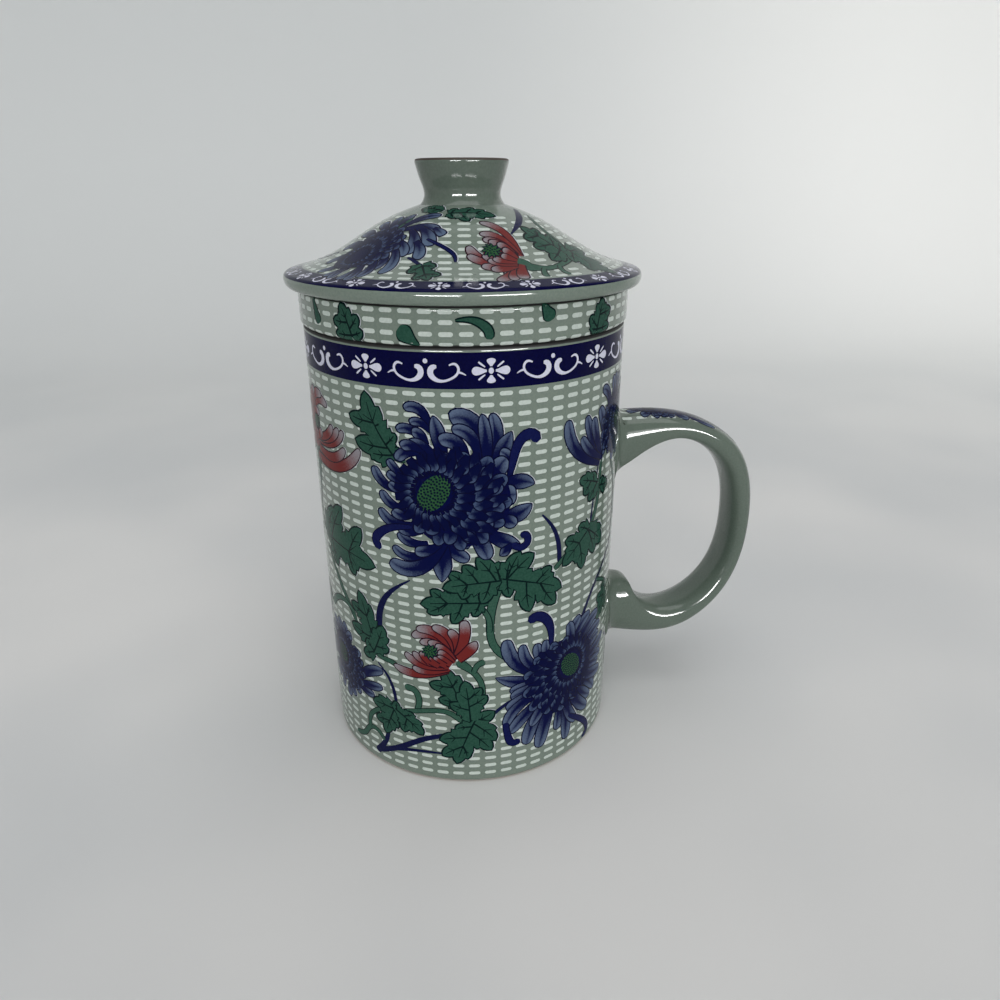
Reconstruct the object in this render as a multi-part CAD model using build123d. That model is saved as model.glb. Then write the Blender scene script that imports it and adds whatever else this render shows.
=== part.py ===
from build123d import *
import os
from math import asin, atan2, degrees

# A three-piece tea mug in millimetres. Z is the mug's axis, the table is z = 0 and the handle points to +X.
# Every turned piece is drawn as an outline of (radius, height) and revolved about Z.

# mug
mug_radius = 40.0
mug_height = 115.0
mug_wall = 3.8
mug_floor = 5.0
foot_width = 4.6
foot_recess = 2.2

# infuser: a collar that stands on the mug's rim, and a strainer cup that hangs inside
collar_radius = 40.5
collar_height = 9.9
collar_wall = 4.0
collar_ledge = 4.1
cup_gap = 0.9
cup_wall = 2.5
cup_draft = 0.7
cup_depth = 57.0
cup_floor = 3.0
hole_diameter = 2.8
hole_pitch = 7.0
hole_rings = 3

# lid: a rolled rim bead, an ogee dome and a flange that centres it in the collar
bead_radius = 1.45
bead_reach = 43.5
bead_rise = 0.7
dome_slope = 0.28
dome_wall = 3.2
seat_radius = 10.4
seat_height = 141.3
flange_gap = 0.5
flange_wall = 2.8
flange_depth = 5.0

# knob: a hollow ring, narrow at the waist and open at the top
knob_height = 10.0
knob_waist = 9.2
knob_lip = 11.7
knob_lip_wall = 2.7
knob_bore = 6.5
knob_rounding = 0.7

# handle: a cast strap with rounded edges, luted to the wall at two joins
strap_width = 14.0
strap_edge = 2.3
join_depth = 3.0

# heights that follow from the above
inner_radius = mug_radius - mug_wall
floor_level = foot_recess + mug_floor
collar_top = mug_height + collar_height
ledge_level = mug_height + collar_ledge
cup_radius = inner_radius - cup_gap
cup_bottom = mug_height - cup_depth
mouth_radius = collar_radius - collar_wall
flange_radius = mouth_radius - flange_gap
bore_radius = flange_radius - flange_wall
bead_centre = (bead_reach - bead_radius, collar_top + bead_rise)


def turned(corners):
    """Revolve an outline about Z. Each corner is (radius, height, rounding)."""
    outline = make_face(Polyline(*[(r, z) for r, z, _ in corners], close=True))
    for r, z, rounding in corners:
        if rounding:
            corner = outline.vertices().sort_by_distance((r, z, 0))[0]
            outline = fillet(corner, rounding)
    return revolve(Plane.XZ * outline, Axis.Z)


def mug_body():
    """Straight cylinder with a flat land on its rim and a turned foot ring below."""
    foot_inner = mug_radius - foot_width
    return turned([
        (0, foot_recess, 0),
        (foot_inner - 1.0, foot_recess, 1.5),
        (foot_inner, 0, 0.8),
        (mug_radius, 0, 1.5),
        (mug_radius, mug_height, 1.0),
        (inner_radius, mug_height, 0.9),
        (inner_radius, floor_level, 6.0),
        (0, floor_level, 0),
    ])


def infuser_cup():
    """Collar and strainer cup in one casting, with rings of holes through the floor."""
    outer_foot = cup_radius - cup_draft
    inner_top = cup_radius - cup_wall
    inner_foot = outer_foot - cup_wall
    cup = turned([
        (0, cup_bottom, 0),
        (outer_foot, cup_bottom, 7.0),
        (cup_radius, mug_height, 0.8),
        (collar_radius, mug_height, 1.2),
        (collar_radius, collar_top, 0.8),
        (mouth_radius, collar_top, 0.8),
        (mouth_radius, ledge_level, 1.0),
        (inner_top, ledge_level - 0.8, 1.6),
        (inner_foot, cup_bottom + cup_floor, 5.0),
        (0, cup_bottom + cup_floor, 0),
    ])
    drill = Cylinder(hole_diameter / 2, 3 * cup_floor)
    holes = [Pos(0, 0, cup_bottom) * drill]
    for ring in range(1, hole_rings + 1):
        places = PolarLocations(ring * hole_pitch, 6 * ring)
        holes += [Pos(0, 0, cup_bottom) * place * drill for place in places]
    return cup - holes


def lid_dome():
    """Ogee dome from the rolled rim bead up to the flat seat of the knob, with the flange underneath."""
    land_end = bead_centre[0] - (bead_radius**2 - bead_rise**2) ** 0.5
    bead_start = -180 + degrees(asin(bead_rise / bead_radius))
    bead_end = 90 - degrees(atan2(dome_slope, 1))
    bead = CenterArc(bead_centre, bead_radius, bead_start, bead_end - bead_start)
    dome = Spline(
        bead @ 1, (34.4, collar_top + 4.5), (27.0, collar_top + 8.4), (19.0, collar_top + 13.0),
        (seat_radius, seat_height), tangents=[(-1, dome_slope), (-1, 0.33)])
    seat = Line((seat_radius, seat_height), (0, seat_height))
    axis = Line((0, seat_height), (0, seat_height - dome_wall))
    inside = Spline(
        (0, seat_height - dome_wall), (seat_radius, seat_height - dome_wall - 0.6),
        (19.0, collar_top + 9.6), (27.0, collar_top + 4.9), (bore_radius, collar_top + 1.6),
        tangents=[(1, 0), (1, -0.35)])
    flange_foot = collar_top - flange_depth
    flange = FilletPolyline(
        inside @ 1, (bore_radius, flange_foot), (flange_radius, flange_foot), (flange_radius, collar_top),
        radius=1.1)
    land = Line((flange_radius, collar_top), (land_end, collar_top))
    outline = make_face([bead, dome, seat, axis, inside, flange, land])
    return revolve(Plane.XZ * outline, Axis.Z)


def lid_knob():
    """Hollow flared ring that stands on the lid's flat seat."""
    top = seat_height + knob_height
    side = Spline(
        (seat_radius - 0.2, seat_height), (knob_waist, seat_height + 1.8), (10.0, seat_height + 5.4),
        (knob_lip, top), tangents=[(-1, 1), (0.35, 1)])
    lip = Polyline(
        (knob_lip, top), (knob_lip - knob_lip_wall, top), (knob_bore, seat_height), side @ 0)
    outline = make_face([side, lip])
    outline = fillet(outline.vertices().group_by(Axis.Y)[-1], knob_rounding)
    return revolve(Plane.XZ * outline, Axis.Z)


def mug_handle():
    """Strap between an outer and an inner curve in the XZ plane, with rounded edges, cut to the mug's wall."""
    root = mug_radius - join_depth
    outer = Spline(
        (root, 88.3), (58.0, 87.4), (76.4, 77.4), (82.0, 57.0), (75.6, 31.0), (63.0, 20.2), (50.0, 18.8),
        (root, 21.2), tangents=[(1, 0), (-1, 0.2)])
    inner = Spline(
        (root, 71.2), (47.3, 77.0), (57.0, 80.8), (70.6, 73.8), (76.3, 56.0), (71.2, 35.4), (58.0, 27.5),
        (48.2, 33.0), (root, 39.2), tangents=[(1, 0.2), (-1, 0.2)])
    upper_root = Line(outer @ 0, inner @ 0)
    lower_root = Line(outer @ 1, inner @ 1)
    near_side = Plane.XZ.offset(-strap_width / 2)
    strap = extrude(near_side * make_face([outer, inner, upper_root, lower_root]), strap_width)
    long_edges = strap.edges().filter_by(GeomType.BSPLINE)
    strap = fillet(long_edges, strap_edge)
    wall = Pos(0, 0, mug_height / 2) * Cylinder(mug_radius, mug_height)
    return strap - wall


os.makedirs("parts", exist_ok=True)
for piece in (mug_body, mug_handle, infuser_cup, lid_dome, lid_knob):
    solid = piece()
    solid.label = piece.__name__
    export_step(solid, f"parts/{piece.__name__}.step")
    print(piece.__name__, round(solid.volume), "cubic mm")
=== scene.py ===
import bpy
import math
import numpy as np
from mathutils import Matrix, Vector
from mathutils.geometry import delaunay_2d_cdt


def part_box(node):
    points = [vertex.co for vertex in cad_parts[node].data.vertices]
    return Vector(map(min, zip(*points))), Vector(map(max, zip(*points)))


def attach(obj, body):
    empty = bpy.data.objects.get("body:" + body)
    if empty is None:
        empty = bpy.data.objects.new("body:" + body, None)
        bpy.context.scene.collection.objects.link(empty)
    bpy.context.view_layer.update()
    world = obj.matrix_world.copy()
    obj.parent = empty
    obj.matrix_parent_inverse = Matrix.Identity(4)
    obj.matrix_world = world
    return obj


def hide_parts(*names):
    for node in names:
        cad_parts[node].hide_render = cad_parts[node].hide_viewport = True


# A lidded tea mug with an infuser, dressed over its solids. Sizes are in millimetres until makePiece
# writes them as metres. Z is the mug's axis and the handle points to +X. Prints are drawn on flat charts
# and wrapped round the pieces: a chart's angle is 0 at the middle of the front, 95 degrees from the handle.

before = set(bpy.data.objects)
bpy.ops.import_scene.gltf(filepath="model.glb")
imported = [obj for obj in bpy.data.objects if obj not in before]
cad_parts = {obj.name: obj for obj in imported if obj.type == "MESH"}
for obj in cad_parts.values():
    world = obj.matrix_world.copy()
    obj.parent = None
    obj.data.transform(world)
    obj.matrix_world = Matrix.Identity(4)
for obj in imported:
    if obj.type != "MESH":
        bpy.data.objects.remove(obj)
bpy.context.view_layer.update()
mm = 0.001
frontAngle = math.radians(-95)
weldDigits = 5  # points that agree to this many places of a millimetre are one
bakeEdge = 0.01  # clear margin of the bake map
roundSegments = 384


def nodeSize(node):
    # a solid's outer radius, foot and top in millimetres
    low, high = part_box(node)
    return {"radius": high.y / mm, "foot": low.z / mm, "top": high.z / mm}


mugSize = nodeSize("mug_body")
collarSize = nodeSize("infuser_cup")
lidSize = nodeSize("lid_dome")
knobSize = nodeSize("lid_knob")
collarFoot = mugSize["top"]
collarTop = collarSize["top"]
collarRim = collarTop - 1.7  # the rim that shows, tucked under the roll of the lid


def unit(v):
    # v over its own length
    return v / np.maximum(np.linalg.norm(v, axis=-1, keepdims=True), 1e-12)


def along(points):
    # running length of a line of points: s_i = sum of |p_k - p_(k-1)|
    steps = np.linalg.norm(np.diff(points, axis=0), axis=1)
    return np.concatenate([[0], np.cumsum(steps)])


def latticeFaces(rows, cols):
    # quad (i, j), (i, j+1), (i+1, j+1), (i+1, j) for every cell of a rows x cols grid of points
    first = np.arange(rows - 1)[:, None] * cols + np.arange(cols - 1)[None, :]
    return np.stack([first, first + 1, first + cols + 1, first + cols], -1).reshape(-1, 4)


def patch(points, normals, faces, chart, petal=None):
    # a bit of surface: points, their normals, faces, their place on the flat chart, and where each corner
    # lies in its petal
    return {"points": np.asarray(points, float).reshape(-1, 3), "normals": unit(normals).reshape(-1, 3),
            "faces": faces, "chart": np.asarray(chart, float).reshape(-1, 2), "petal": petal}


def faceGroups(welded):
    # sorts welded faces into whole ones and quads that have shrunk to a triangle at a pole; faces with no
    # height are left out. Each group is (which faces, which of their corners)
    if welded.shape[1] == 3:
        a, b, c = welded.T
        return [(np.flatnonzero((a != b) & (b != c) & (c != a)), [0, 1, 2])]
    a, b, c, d = welded.T
    tall = (a != d) & (b != c)
    return [(np.flatnonzero(tall & (a != b) & (c != d)), [0, 1, 2, 3]),
            (np.flatnonzero(tall & (a == b) & (c != d)), [0, 2, 3]),
            (np.flatnonzero(tall & (a != b) & (c == d)), [0, 1, 2])]


def makePiece(name, patches, material, body, replaced=None):
    # joins patches into one mesh; points that meet become one, so seams and poles close, while every
    # corner keeps its own patch's normal
    points = np.concatenate([p["points"] for p in patches])
    _, keep, joined = np.unique(np.round(points, weldDigits), axis=0, return_index=True, return_inverse=True)
    joined = joined.reshape(-1)
    offset = 0
    corners, petals = [], []
    for p in patches:
        faces = p["faces"] + offset
        spots = np.arange(faces.size).reshape(faces.shape)
        for rows, cols in faceGroups(joined[faces]):
            if len(rows):
                corners.append(faces[rows][:, cols])
                if p["petal"] is not None:
                    petals.append(p["petal"].reshape(-1, 2)[spots[rows][:, cols].ravel()])
        offset += len(p["points"])
    loops = np.concatenate([c.ravel() for c in corners])
    counts = np.concatenate([np.full(len(c), c.shape[1]) for c in corners])
    mesh = bpy.data.meshes.new(name)
    mesh.vertices.add(len(keep))
    mesh.vertices.foreach_set("co", (points[keep] * mm).astype(np.float32).ravel())
    mesh.loops.add(len(loops))
    mesh.loops.foreach_set("vertex_index", joined[loops].astype(np.int32))
    mesh.polygons.add(len(counts))
    mesh.polygons.foreach_set("loop_start", (np.cumsum(counts) - counts).astype(np.int32))
    mesh.update(calc_edges=True)
    mesh.shade_smooth()
    chart = np.concatenate([p["chart"] for p in patches])[loops]
    low, high = chart.min(0), chart.max(0)
    flatMap = bakeEdge + (1 - 2 * bakeEdge) * (chart - low) / (high - low)
    bakeMap = mesh.uv_layers.new(name="OFBake")
    bakeMap.uv.foreach_set("vector", flatMap.astype(np.float32).ravel())
    if petals:
        petalMap = mesh.uv_layers.new(name="petal")
        petalMap.uv.foreach_set("vector", np.concatenate(petals).astype(np.float32).ravel())
    normals = np.concatenate([p["normals"] for p in patches])[loops]
    mesh.normals_split_custom_set(normals.tolist())
    mesh.materials.append(material)
    piece = bpy.data.objects.new(name, mesh)
    bpy.context.scene.collection.objects.link(piece)
    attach(piece, body)
    if replaced:
        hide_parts(replaced)


def straight(start, end, rows=2):
    # a straight run of an outline; every outline is rows of (radius, height, normal across, normal up)
    t = np.linspace(0, 1, rows)[:, None]
    step = unit(np.subtract(end, start))
    out = np.tile([step[1], -step[0]], (rows, 1))
    return np.hstack([np.array(start) + t * np.subtract(end, start), out])


def roundedOutline(corners, arcStep=7.0):
    # corners are (radius, height, rounding); a rounded corner is centre + rounding (cos a, sin a)
    places = np.array([c[:2] for c in corners], float)
    steps = unit(np.diff(places, axis=0))
    rows = []
    at = places[0]
    for i in range(1, len(corners)):
        into = steps[i - 1]
        if i == len(corners) - 1 or corners[i][2] == 0:
            rows.append(straight(at, places[i]))
            at = places[i]
            continue
        out = steps[i]
        turn = math.atan2(into[0] * out[1] - into[1] * out[0], into @ out)
        rounding = corners[i][2]
        reach = rounding * math.tan(abs(turn) / 2)
        start = places[i] - into * reach
        side = math.copysign(1, turn)
        firstNormal = np.array([into[1], -into[0]])
        centre = start - side * rounding * firstNormal
        rows.append(straight(at, start))
        angles = np.linspace(0, turn, max(3, int(abs(math.degrees(turn)) / arcStep) + 1))
        c, s = np.cos(angles), np.sin(angles)
        across, up = firstNormal
        normals = np.stack([c * across - s * up, s * across + c * up], 1)
        rows.append(np.hstack([centre + side * rounding * normals, normals]))
        at = centre + side * rounding * normals[-1]
    return np.concatenate(rows)


def withRounding(corners, roundings):
    # gives every (radius, height) corner its rounding
    return [(*corner, rounding) for corner, rounding in zip(corners, roundings)]


def raised(level, places):
    # (radius, height) places moved up by a level
    return [(radius, level + height) for radius, height in places]


def splineThrough(knots, startWay=None, endWay=None, count=40):
    # cubic spline through the knots, spaced by chord length: each span is the Hermite curve
    # h00 p0 + h10 L m0 + h01 p1 + h11 L m1, with slopes m that make the second derivative continuous
    knots = np.asarray(knots, float)
    at = along(knots)
    gaps = np.diff(at)
    n = len(knots)
    system = np.zeros((n, n))
    right = np.zeros_like(knots)
    for i in range(1, n - 1):
        system[i, i - 1:i + 2] = [gaps[i], 2 * (gaps[i - 1] + gaps[i]), gaps[i - 1]]
        right[i] = 3 * (gaps[i] * (knots[i] - knots[i - 1]) / gaps[i - 1]
                        + gaps[i - 1] * (knots[i + 1] - knots[i]) / gaps[i])
    for row, way, first, second in ((0, startWay, 0, 1), (n - 1, endWay, n - 2, n - 1)):
        other = 1 if row == 0 else n - 2
        system[row, row] = 1 if way is not None else 2
        system[row, other] = 0 if way is not None else 1
        right[row] = unit(np.array(way, float)) if way is not None else \
            3 * (knots[second] - knots[first]) / gaps[first]
    slopes = np.linalg.solve(system, right)
    s = np.linspace(0, at[-1], count)
    i = np.clip(np.searchsorted(at, s, side="right") - 1, 0, n - 2)
    length = gaps[i][:, None]
    t = ((s - at[i]) / gaps[i])[:, None]
    return ((2 * t**3 - 3 * t**2 + 1) * knots[i] + (t**3 - 2 * t**2 + t) * length * slopes[i]
            + (3 * t**2 - 2 * t**3) * knots[i + 1] + (t**3 - t**2) * length * slopes[i + 1])


def splineOutline(knots, startWay=None, endWay=None, count=40):
    # a spline as an outline: where it runs along (dr, dz), its normal is (dz, -dr)
    points = splineThrough(knots, startWay, endWay, count)
    way = unit(np.gradient(points, axis=0))
    return np.hstack([points, way[:, 1:2], -way[:, 0:1]])


def turned(outline, segments=roundSegments):
    # P(i, j) = (r_i cos a_j, r_i sin a_j, z_i), with a_j from 0 to a whole turn
    a = np.linspace(0, 2 * math.pi, segments + 1)
    r, z, across, up = (outline[:, k:k + 1] for k in range(4))
    level = np.ones_like(a)
    points = np.stack([r * np.cos(a), r * np.sin(a), z * level], -1)
    normals = np.stack([across * np.cos(a), across * np.sin(a), up * level], -1)
    rowAt = along(outline[:, :2])[:, None] * level
    chart = np.stack([np.ones_like(r) * a * r.max(), rowAt], -1)
    return patch(points, normals, latticeFaces(len(outline), segments + 1), chart)


class TurnedChart:
    # wraps flat places round a turned piece: across is an arc length at the chart's own radius, and
    # up is a length along the outline from its start
    def __init__(self, outline, radius, start):
        self.outline = outline
        self.radius = radius
        self.up = along(outline[:, :2]) + start

    def reach(self, up):
        return np.interp(up, self.up, self.outline[:, 0])

    def wrap(self, flat, lift):
        angle = flat[..., 0] / self.radius + frontAngle
        r, z, across, up = (np.interp(flat[..., 1], self.up, self.outline[:, k]) for k in range(4))
        normals = unit(np.stack([across * np.cos(angle), across * np.sin(angle), up], -1))
        surface = np.stack([r * np.cos(angle), r * np.sin(angle), z], -1)
        return surface + lift * normals, normals


class PlanChart:
    # places seen from straight above, with the front of the lid at -y before they are turned
    def __init__(self, outline, turn):
        order = np.argsort(outline[:, 0])
        self.outline = outline[order]
        self.turn = math.radians(turn)

    def wrap(self, flat, lift):
        c, s = math.cos(self.turn), math.sin(self.turn)
        x = flat[..., 0] * c - flat[..., 1] * s
        y = flat[..., 0] * s + flat[..., 1] * c
        r = np.hypot(x, y)
        z, across, up = (np.interp(r, self.outline[:, 0], self.outline[:, k]) for k in (1, 2, 3))
        normals = unit(np.stack([across * x / r, across * y / r, up], -1))
        return np.stack([x, y, z], -1) + lift * normals, normals


class HandleChart:
    # places on the handle's own grid: up its back from the wall, and round its section from the middle of
    # the back, with the front at negative lengths. Each is read between the four nearest points of the grid
    def __init__(self, points, normals, back, wallRadius):
        self.grid = np.concatenate([points, normals], -1)
        run, upperRoot = along(back), len(back) // 3
        self.backAt = run - np.interp(wallRadius, back[:upperRoot, 0], run[:upperRoot])
        top = (points.shape[1] - 1) // 4
        section = points[len(points) // 4]
        self.roundAt = along(section)[top] - along(section)
        self.radius = 1.0

    def reach(self, up):
        return np.ones_like(up)

    def wrap(self, flat, lift):
        i = np.interp(flat[..., 0], self.backAt, np.arange(len(self.backAt)))
        j = np.interp(-flat[..., 1], -self.roundAt, np.arange(len(self.roundAt)))
        low = np.minimum(i.astype(int), len(self.backAt) - 2)
        left = np.minimum(j.astype(int), len(self.roundAt) - 2)
        f, g = (i - low)[..., None], (j - left)[..., None]
        found = ((1 - f) * ((1 - g) * self.grid[low, left] + g * self.grid[low, left + 1])
                 + f * ((1 - g) * self.grid[low + 1, left] + g * self.grid[low + 1, left + 1]))
        normals = unit(found[..., 3:])
        return found[..., :3] + lift * normals, normals


class Value:
    # an output socket; arithmetic on it adds Math nodes to its material
    def __init__(self, shade, socket):
        self.shade = shade
        self.socket = socket

    def __add__(self, other):
        return self.shade.maths("ADD", self, other)

    def __sub__(self, other):
        return self.shade.maths("SUBTRACT", self, other)

    def __rsub__(self, other):
        return self.shade.maths("SUBTRACT", other, self)

    def __mul__(self, other):
        return self.shade.maths("MULTIPLY", self, other)

    def __pow__(self, other):
        return self.shade.maths("POWER", self, other)

    def __abs__(self):
        return self.shade.maths("ABSOLUTE", self)

    __radd__ = __add__
    __rmul__ = __mul__

    def rise(self, low, high):
        # smooth step from 0 at low to 1 at high
        return self.shade.node("MapRange", {"interpolation_type": "SMOOTHSTEP"},
                               {"Value": self, "From Min": low, "From Max": high})


class Shade:
    # builds the nodes of a material or of the world
    def __init__(self, owner):
        self.owner = owner
        owner.use_nodes = True
        self.tree = owner.node_tree
        self.tree.nodes.clear()

    def node(self, kind, settings=None, inputs=None, output=0):
        made = self.tree.nodes.new("ShaderNode" + kind)
        for key, value in (settings or {}).items():
            setattr(made, key, value)
        for key, value in (inputs or {}).items():
            if isinstance(value, Value):
                self.tree.links.new(value.socket, made.inputs[key])
            else:
                made.inputs[key].default_value = value
        return Value(self, made.outputs[output]) if len(made.outputs) else None

    def maths(self, operation, *values):
        return self.node("Math", {"operation": operation}, dict(enumerate(values)))

    def place(self):
        return self.node("TexCoord", output="Object")

    def noise(self, size, detail=2.0, roughness=0.5):
        # size is the width of a blotch in millimetres
        return self.node("TexNoise", {}, {"Vector": self.place(), "Scale": 1 / (size * mm), "Detail": detail,
                                          "Roughness": roughness})

    def blotches(self, size, detail, low, high):
        # noise with its edges sharpened to a smooth step
        return self.noise(size, detail).rise(low, high)

    def mixed(self, factor, first, second):
        return self.node("Mix", {"data_type": "RGBA"}, {0: factor, 6: first, 7: second}, 2)

    def finish(self, inputs):
        shader = self.node("BsdfPrincipled", {}, inputs)
        self.node("OutputMaterial", {}, {"Surface": shader})
        return self.owner


def ink(red, green, blue):
    # a screen colour from 0 to 255 as linear light
    c = np.array([red, green, blue]) / 255
    linear = np.where(c <= 0.04045, c / 12.92, ((c + 0.055) / 1.055) ** 2.4)
    return (*linear, 1.0)


print("helpers ready")

# a noise is (blotch in millimetres, detail), then low and high of its smooth step where it has one
glazeLook = {
    "sage": ink(119, 132, 122), "pooled": ink(99, 113, 103), "thin": ink(138, 149, 139),
    "fleck": ink(44, 46, 40), "pools": (34, 3, 0.3, 0.75), "poolShare": 0.45, "poolLeast": 0.3,
    "grains": (0.5, 1, 0.3, 0.7), "grainShare": 0.2, "flecks": (2.3, 0, 0.865, 0.9), "fleckShare": 0.7,
    "roughness": 0.06, "smears": (6, 2), "smearShare": 0.04, "ripples": (7, 2), "fineRipples": (0.9, 1),
    "fineShare": 0.08, "ripple": 0.00003, "gloss": 0.45}
# bare clay, and painted shade in the gaps between parts: a ring's edge wavers up and down and is soft
clayAndShadeLook = {"waver": (3, 2), "waverHeight": 0.2, "soft": 0.08, "scorchAndShadeMottle": (0.8, 3), "roughness": 0.5}


def glaze(name, look, clayAndShadeRings=()):
    # gloss sage glaze: broad pooling, fine grain and rare iron flecks. Between the heights and the radii of
    # each ring it shows bare fired clay at the foot and lip, and painted shade in the gaps between parts
    shade = Shade(bpy.data.materials.new(name))
    pooling = shade.blotches(*look["pools"]) * look["poolShare"] + look["poolLeast"]
    colour = shade.mixed(pooling, look["pooled"], look["sage"])
    colour = shade.mixed(shade.blotches(*look["grains"]) * look["grainShare"], colour, look["thin"])
    colour = shade.mixed(shade.blotches(*look["flecks"]) * look["fleckShare"], colour, look["fleck"])
    roughness = shade.noise(*look["smears"]) * look["smearShare"] + look["roughness"]
    ripple = shade.noise(*look["ripples"]) + shade.noise(*look["fineRipples"]) * look["fineShare"]
    waver = (shade.noise(*clayAndShadeLook["waver"]) - 0.5) * clayAndShadeLook["waverHeight"] * mm
    height = shade.node("SeparateXYZ", {}, {0: shade.place()}, 2) + waver
    flat = shade.node("VectorMath", {"operation": "MULTIPLY"}, {0: shade.place(), 1: (1, 1, 0)})
    reach = shade.node("VectorMath", {"operation": "LENGTH"}, {0: flat}, 1)
    soft = clayAndShadeLook["soft"] * mm
    for ring in clayAndShadeRings:
        low, high, inner, outer = (ring[k] * mm for k in ("from", "to", "outside", "within"))
        there = (height.rise(low - soft, low + soft) * (1 - height.rise(high - soft, high + soft))
                 * reach.rise(inner, inner + soft) * (1 - reach.rise(outer, outer + soft)))
        # a ring's two tones: bare clay on the foot and the knob's lip, painted shade on the gap rings
        clayAndShade = shade.mixed(shade.noise(*clayAndShadeLook["scorchAndShadeMottle"]), ring["clayAndShade"], ring["scorchedAndShade"])
        colour = shade.mixed(there, colour, clayAndShade)
        roughness = roughness + there * clayAndShadeLook["roughness"]
    normal = shade.node("Bump", {}, {"Height": ripple, "Distance": look["ripple"], "Strength": 1.0})
    return shade.finish({"Base Color": colour, "Roughness": roughness, "Normal": normal,
                         "Specular IOR Level": look["gloss"]})


# rings of bare clay and rings of painted shade, each between two heights and two radii
anyRadius = {"outside": 0, "within": 99}
footRing = anyRadius | {"from": -1, "to": 0.45, "outside": 20, "clayAndShade": ink(176, 160, 138),
                        "scorchedAndShade": ink(132, 108, 84)}
# painted shade: near-black rings where the mug meets the collar and the collar meets the lid, standing in for
# the shade in these gaps
gapShadeRing = anyRadius | {"clayAndShade": ink(16, 15, 13), "scorchedAndShade": ink(7, 7, 7)}
rimRing = gapShadeRing | {"from": collarFoot - 0.7, "to": collarFoot + 1, "outside": 36.6}
collarRing = gapShadeRing | {"from": collarFoot - 1, "to": collarFoot + 0.42, "outside": 35.6}
landRing = gapShadeRing | {"from": collarRim - 0.3, "to": collarRim + 0.95, "outside": 36.3, "within": 41.0}
mouthRing = gapShadeRing | {"from": collarRim - 0.34, "to": collarRim + 1, "outside": 38.4}
lipRing = anyRadius | {"from": knobSize["top"] - 0.5, "to": knobSize["top"] + 1, "clayAndShade": ink(66, 50, 38),
                       "scorchedAndShade": ink(30, 24, 20)}
bodyGlaze = glaze("sageGlaze", glazeLook, [footRing, rimRing])
innerGlaze = glaze("sageInnerGlaze", glazeLook, [collarRing, mouthRing])
lidGlaze = glaze("sageLidGlaze", glazeLook, [landRing])
handleLook = glazeLook | {"sage": ink(99, 111, 101), "pooled": ink(81, 94, 85), "thin": ink(114, 126, 116)}
handleGlaze = glaze("sageHandleGlaze", handleLook)
knobGlaze = glaze("sageKnobGlaze", handleLook, [lipRing])

inkLook = {"roughness": 0.07, "smears": (5, 1), "smearShare": 0.06, "gloss": 0.06, "stippleDetail": 2,
           "stippleEdges": (0.3, 0.7), "stippleShare": 0.7, "drift": (12, 1), "driftShare": 0.3}


def underGloss(shade, colour):
    # an ink's colour below the shine of the clear glaze
    roughness = shade.noise(*inkLook["smears"]) * inkLook["smearShare"] + inkLook["roughness"]
    return shade.finish({"Base Color": colour, "Roughness": roughness,
                         "Specular IOR Level": inkLook["gloss"]})


def printed(name, first, second, low=0.0, high=1.0, grainSize=0.35, grainDepth=0.25, centre=0.0):
    # a fired transfer under the gloss: colour runs from first to second along each petal, broken up by a
    # fine stipple, with a darker vein where centre is above 0
    shade = Shade(bpy.data.materials.new(name))
    petal = shade.node("UVMap", {"uv_map": "petal"})
    lengthwise = shade.node("SeparateXYZ", {}, {0: petal}, 0)
    crosswise = abs(shade.node("SeparateXYZ", {}, {0: petal}, 1))
    stipple = (shade.noise(grainSize, 1) - 0.5) * grainDepth
    run = (lengthwise + stipple - (1 - crosswise) ** 3 * centre).rise(low, high)
    return underGloss(shade, shade.mixed(run, first, second))


def stippled(name, first, second, size=0.5):
    # an even fired ink with a fine two-tone stipple and a broad drift in strength
    shade = Shade(bpy.data.materials.new(name))
    fine = shade.blotches(size, inkLook["stippleDetail"], *inkLook["stippleEdges"])
    mix = fine * inkLook["stippleShare"] + shade.noise(*inkLook["drift"]) * inkLook["driftShare"]
    return underGloss(shade, shade.mixed(mix, first, second))


inks = {
    "dash": stippled("dashInk", ink(184, 195, 188), ink(200, 209, 203)),
    "halo": stippled("haloInk", ink(176, 182, 188), ink(196, 201, 208)),
    "navy": stippled("navyInk", ink(1, 2, 44), ink(4, 5, 56)),
    "white": stippled("whiteInk", ink(196, 198, 216), ink(212, 213, 228)),
    "petalLine": stippled("petalLineInk", ink(2, 3, 34), ink(5, 7, 46)),
    "bluePetal": printed("bluePetalInk", ink(3, 10, 58), ink(90, 105, 130), 0.42, 1.02, centre=0.34),
    "deepPetal": printed("deepPetalInk", ink(2, 8, 52), ink(68, 84, 114), 0.46, 1.02, centre=0.2),
    "steelPetal": printed("steelPetalInk", ink(5, 10, 56), ink(84, 101, 126), 0.05, 0.8, centre=0.35),
    "hookPetal": stippled("hookPetalInk", ink(8, 14, 62), ink(16, 24, 74)),
    "darkMass": stippled("darkMassInk", ink(1, 4, 50), ink(3, 8, 60)),
    "redPetal": printed("redPetalInk", ink(108, 38, 37), ink(138, 136, 142), 0.6, 1.02, grainDepth=0.2),
    "redLine": stippled("redLineInk", ink(34, 14, 26), ink(48, 18, 30)),
    "leaf": stippled("leafInk", ink(32, 67, 56), ink(45, 82, 69), 0.5),
    "leafLine": stippled("leafLineInk", ink(2, 22, 24), ink(6, 30, 30)),
    "stem": stippled("stemInk", ink(44, 76, 64), ink(58, 92, 78)),
    "branch": stippled("branchInk", ink(8, 12, 52), ink(16, 24, 66)),
    "seed": stippled("seedInk", ink(32, 70, 46), ink(48, 88, 54), 0.6),
    "seedDot": stippled("seedDotInk", ink(4, 12, 36), ink(8, 22, 42)),
}
print("glazes and inks ready")

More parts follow.
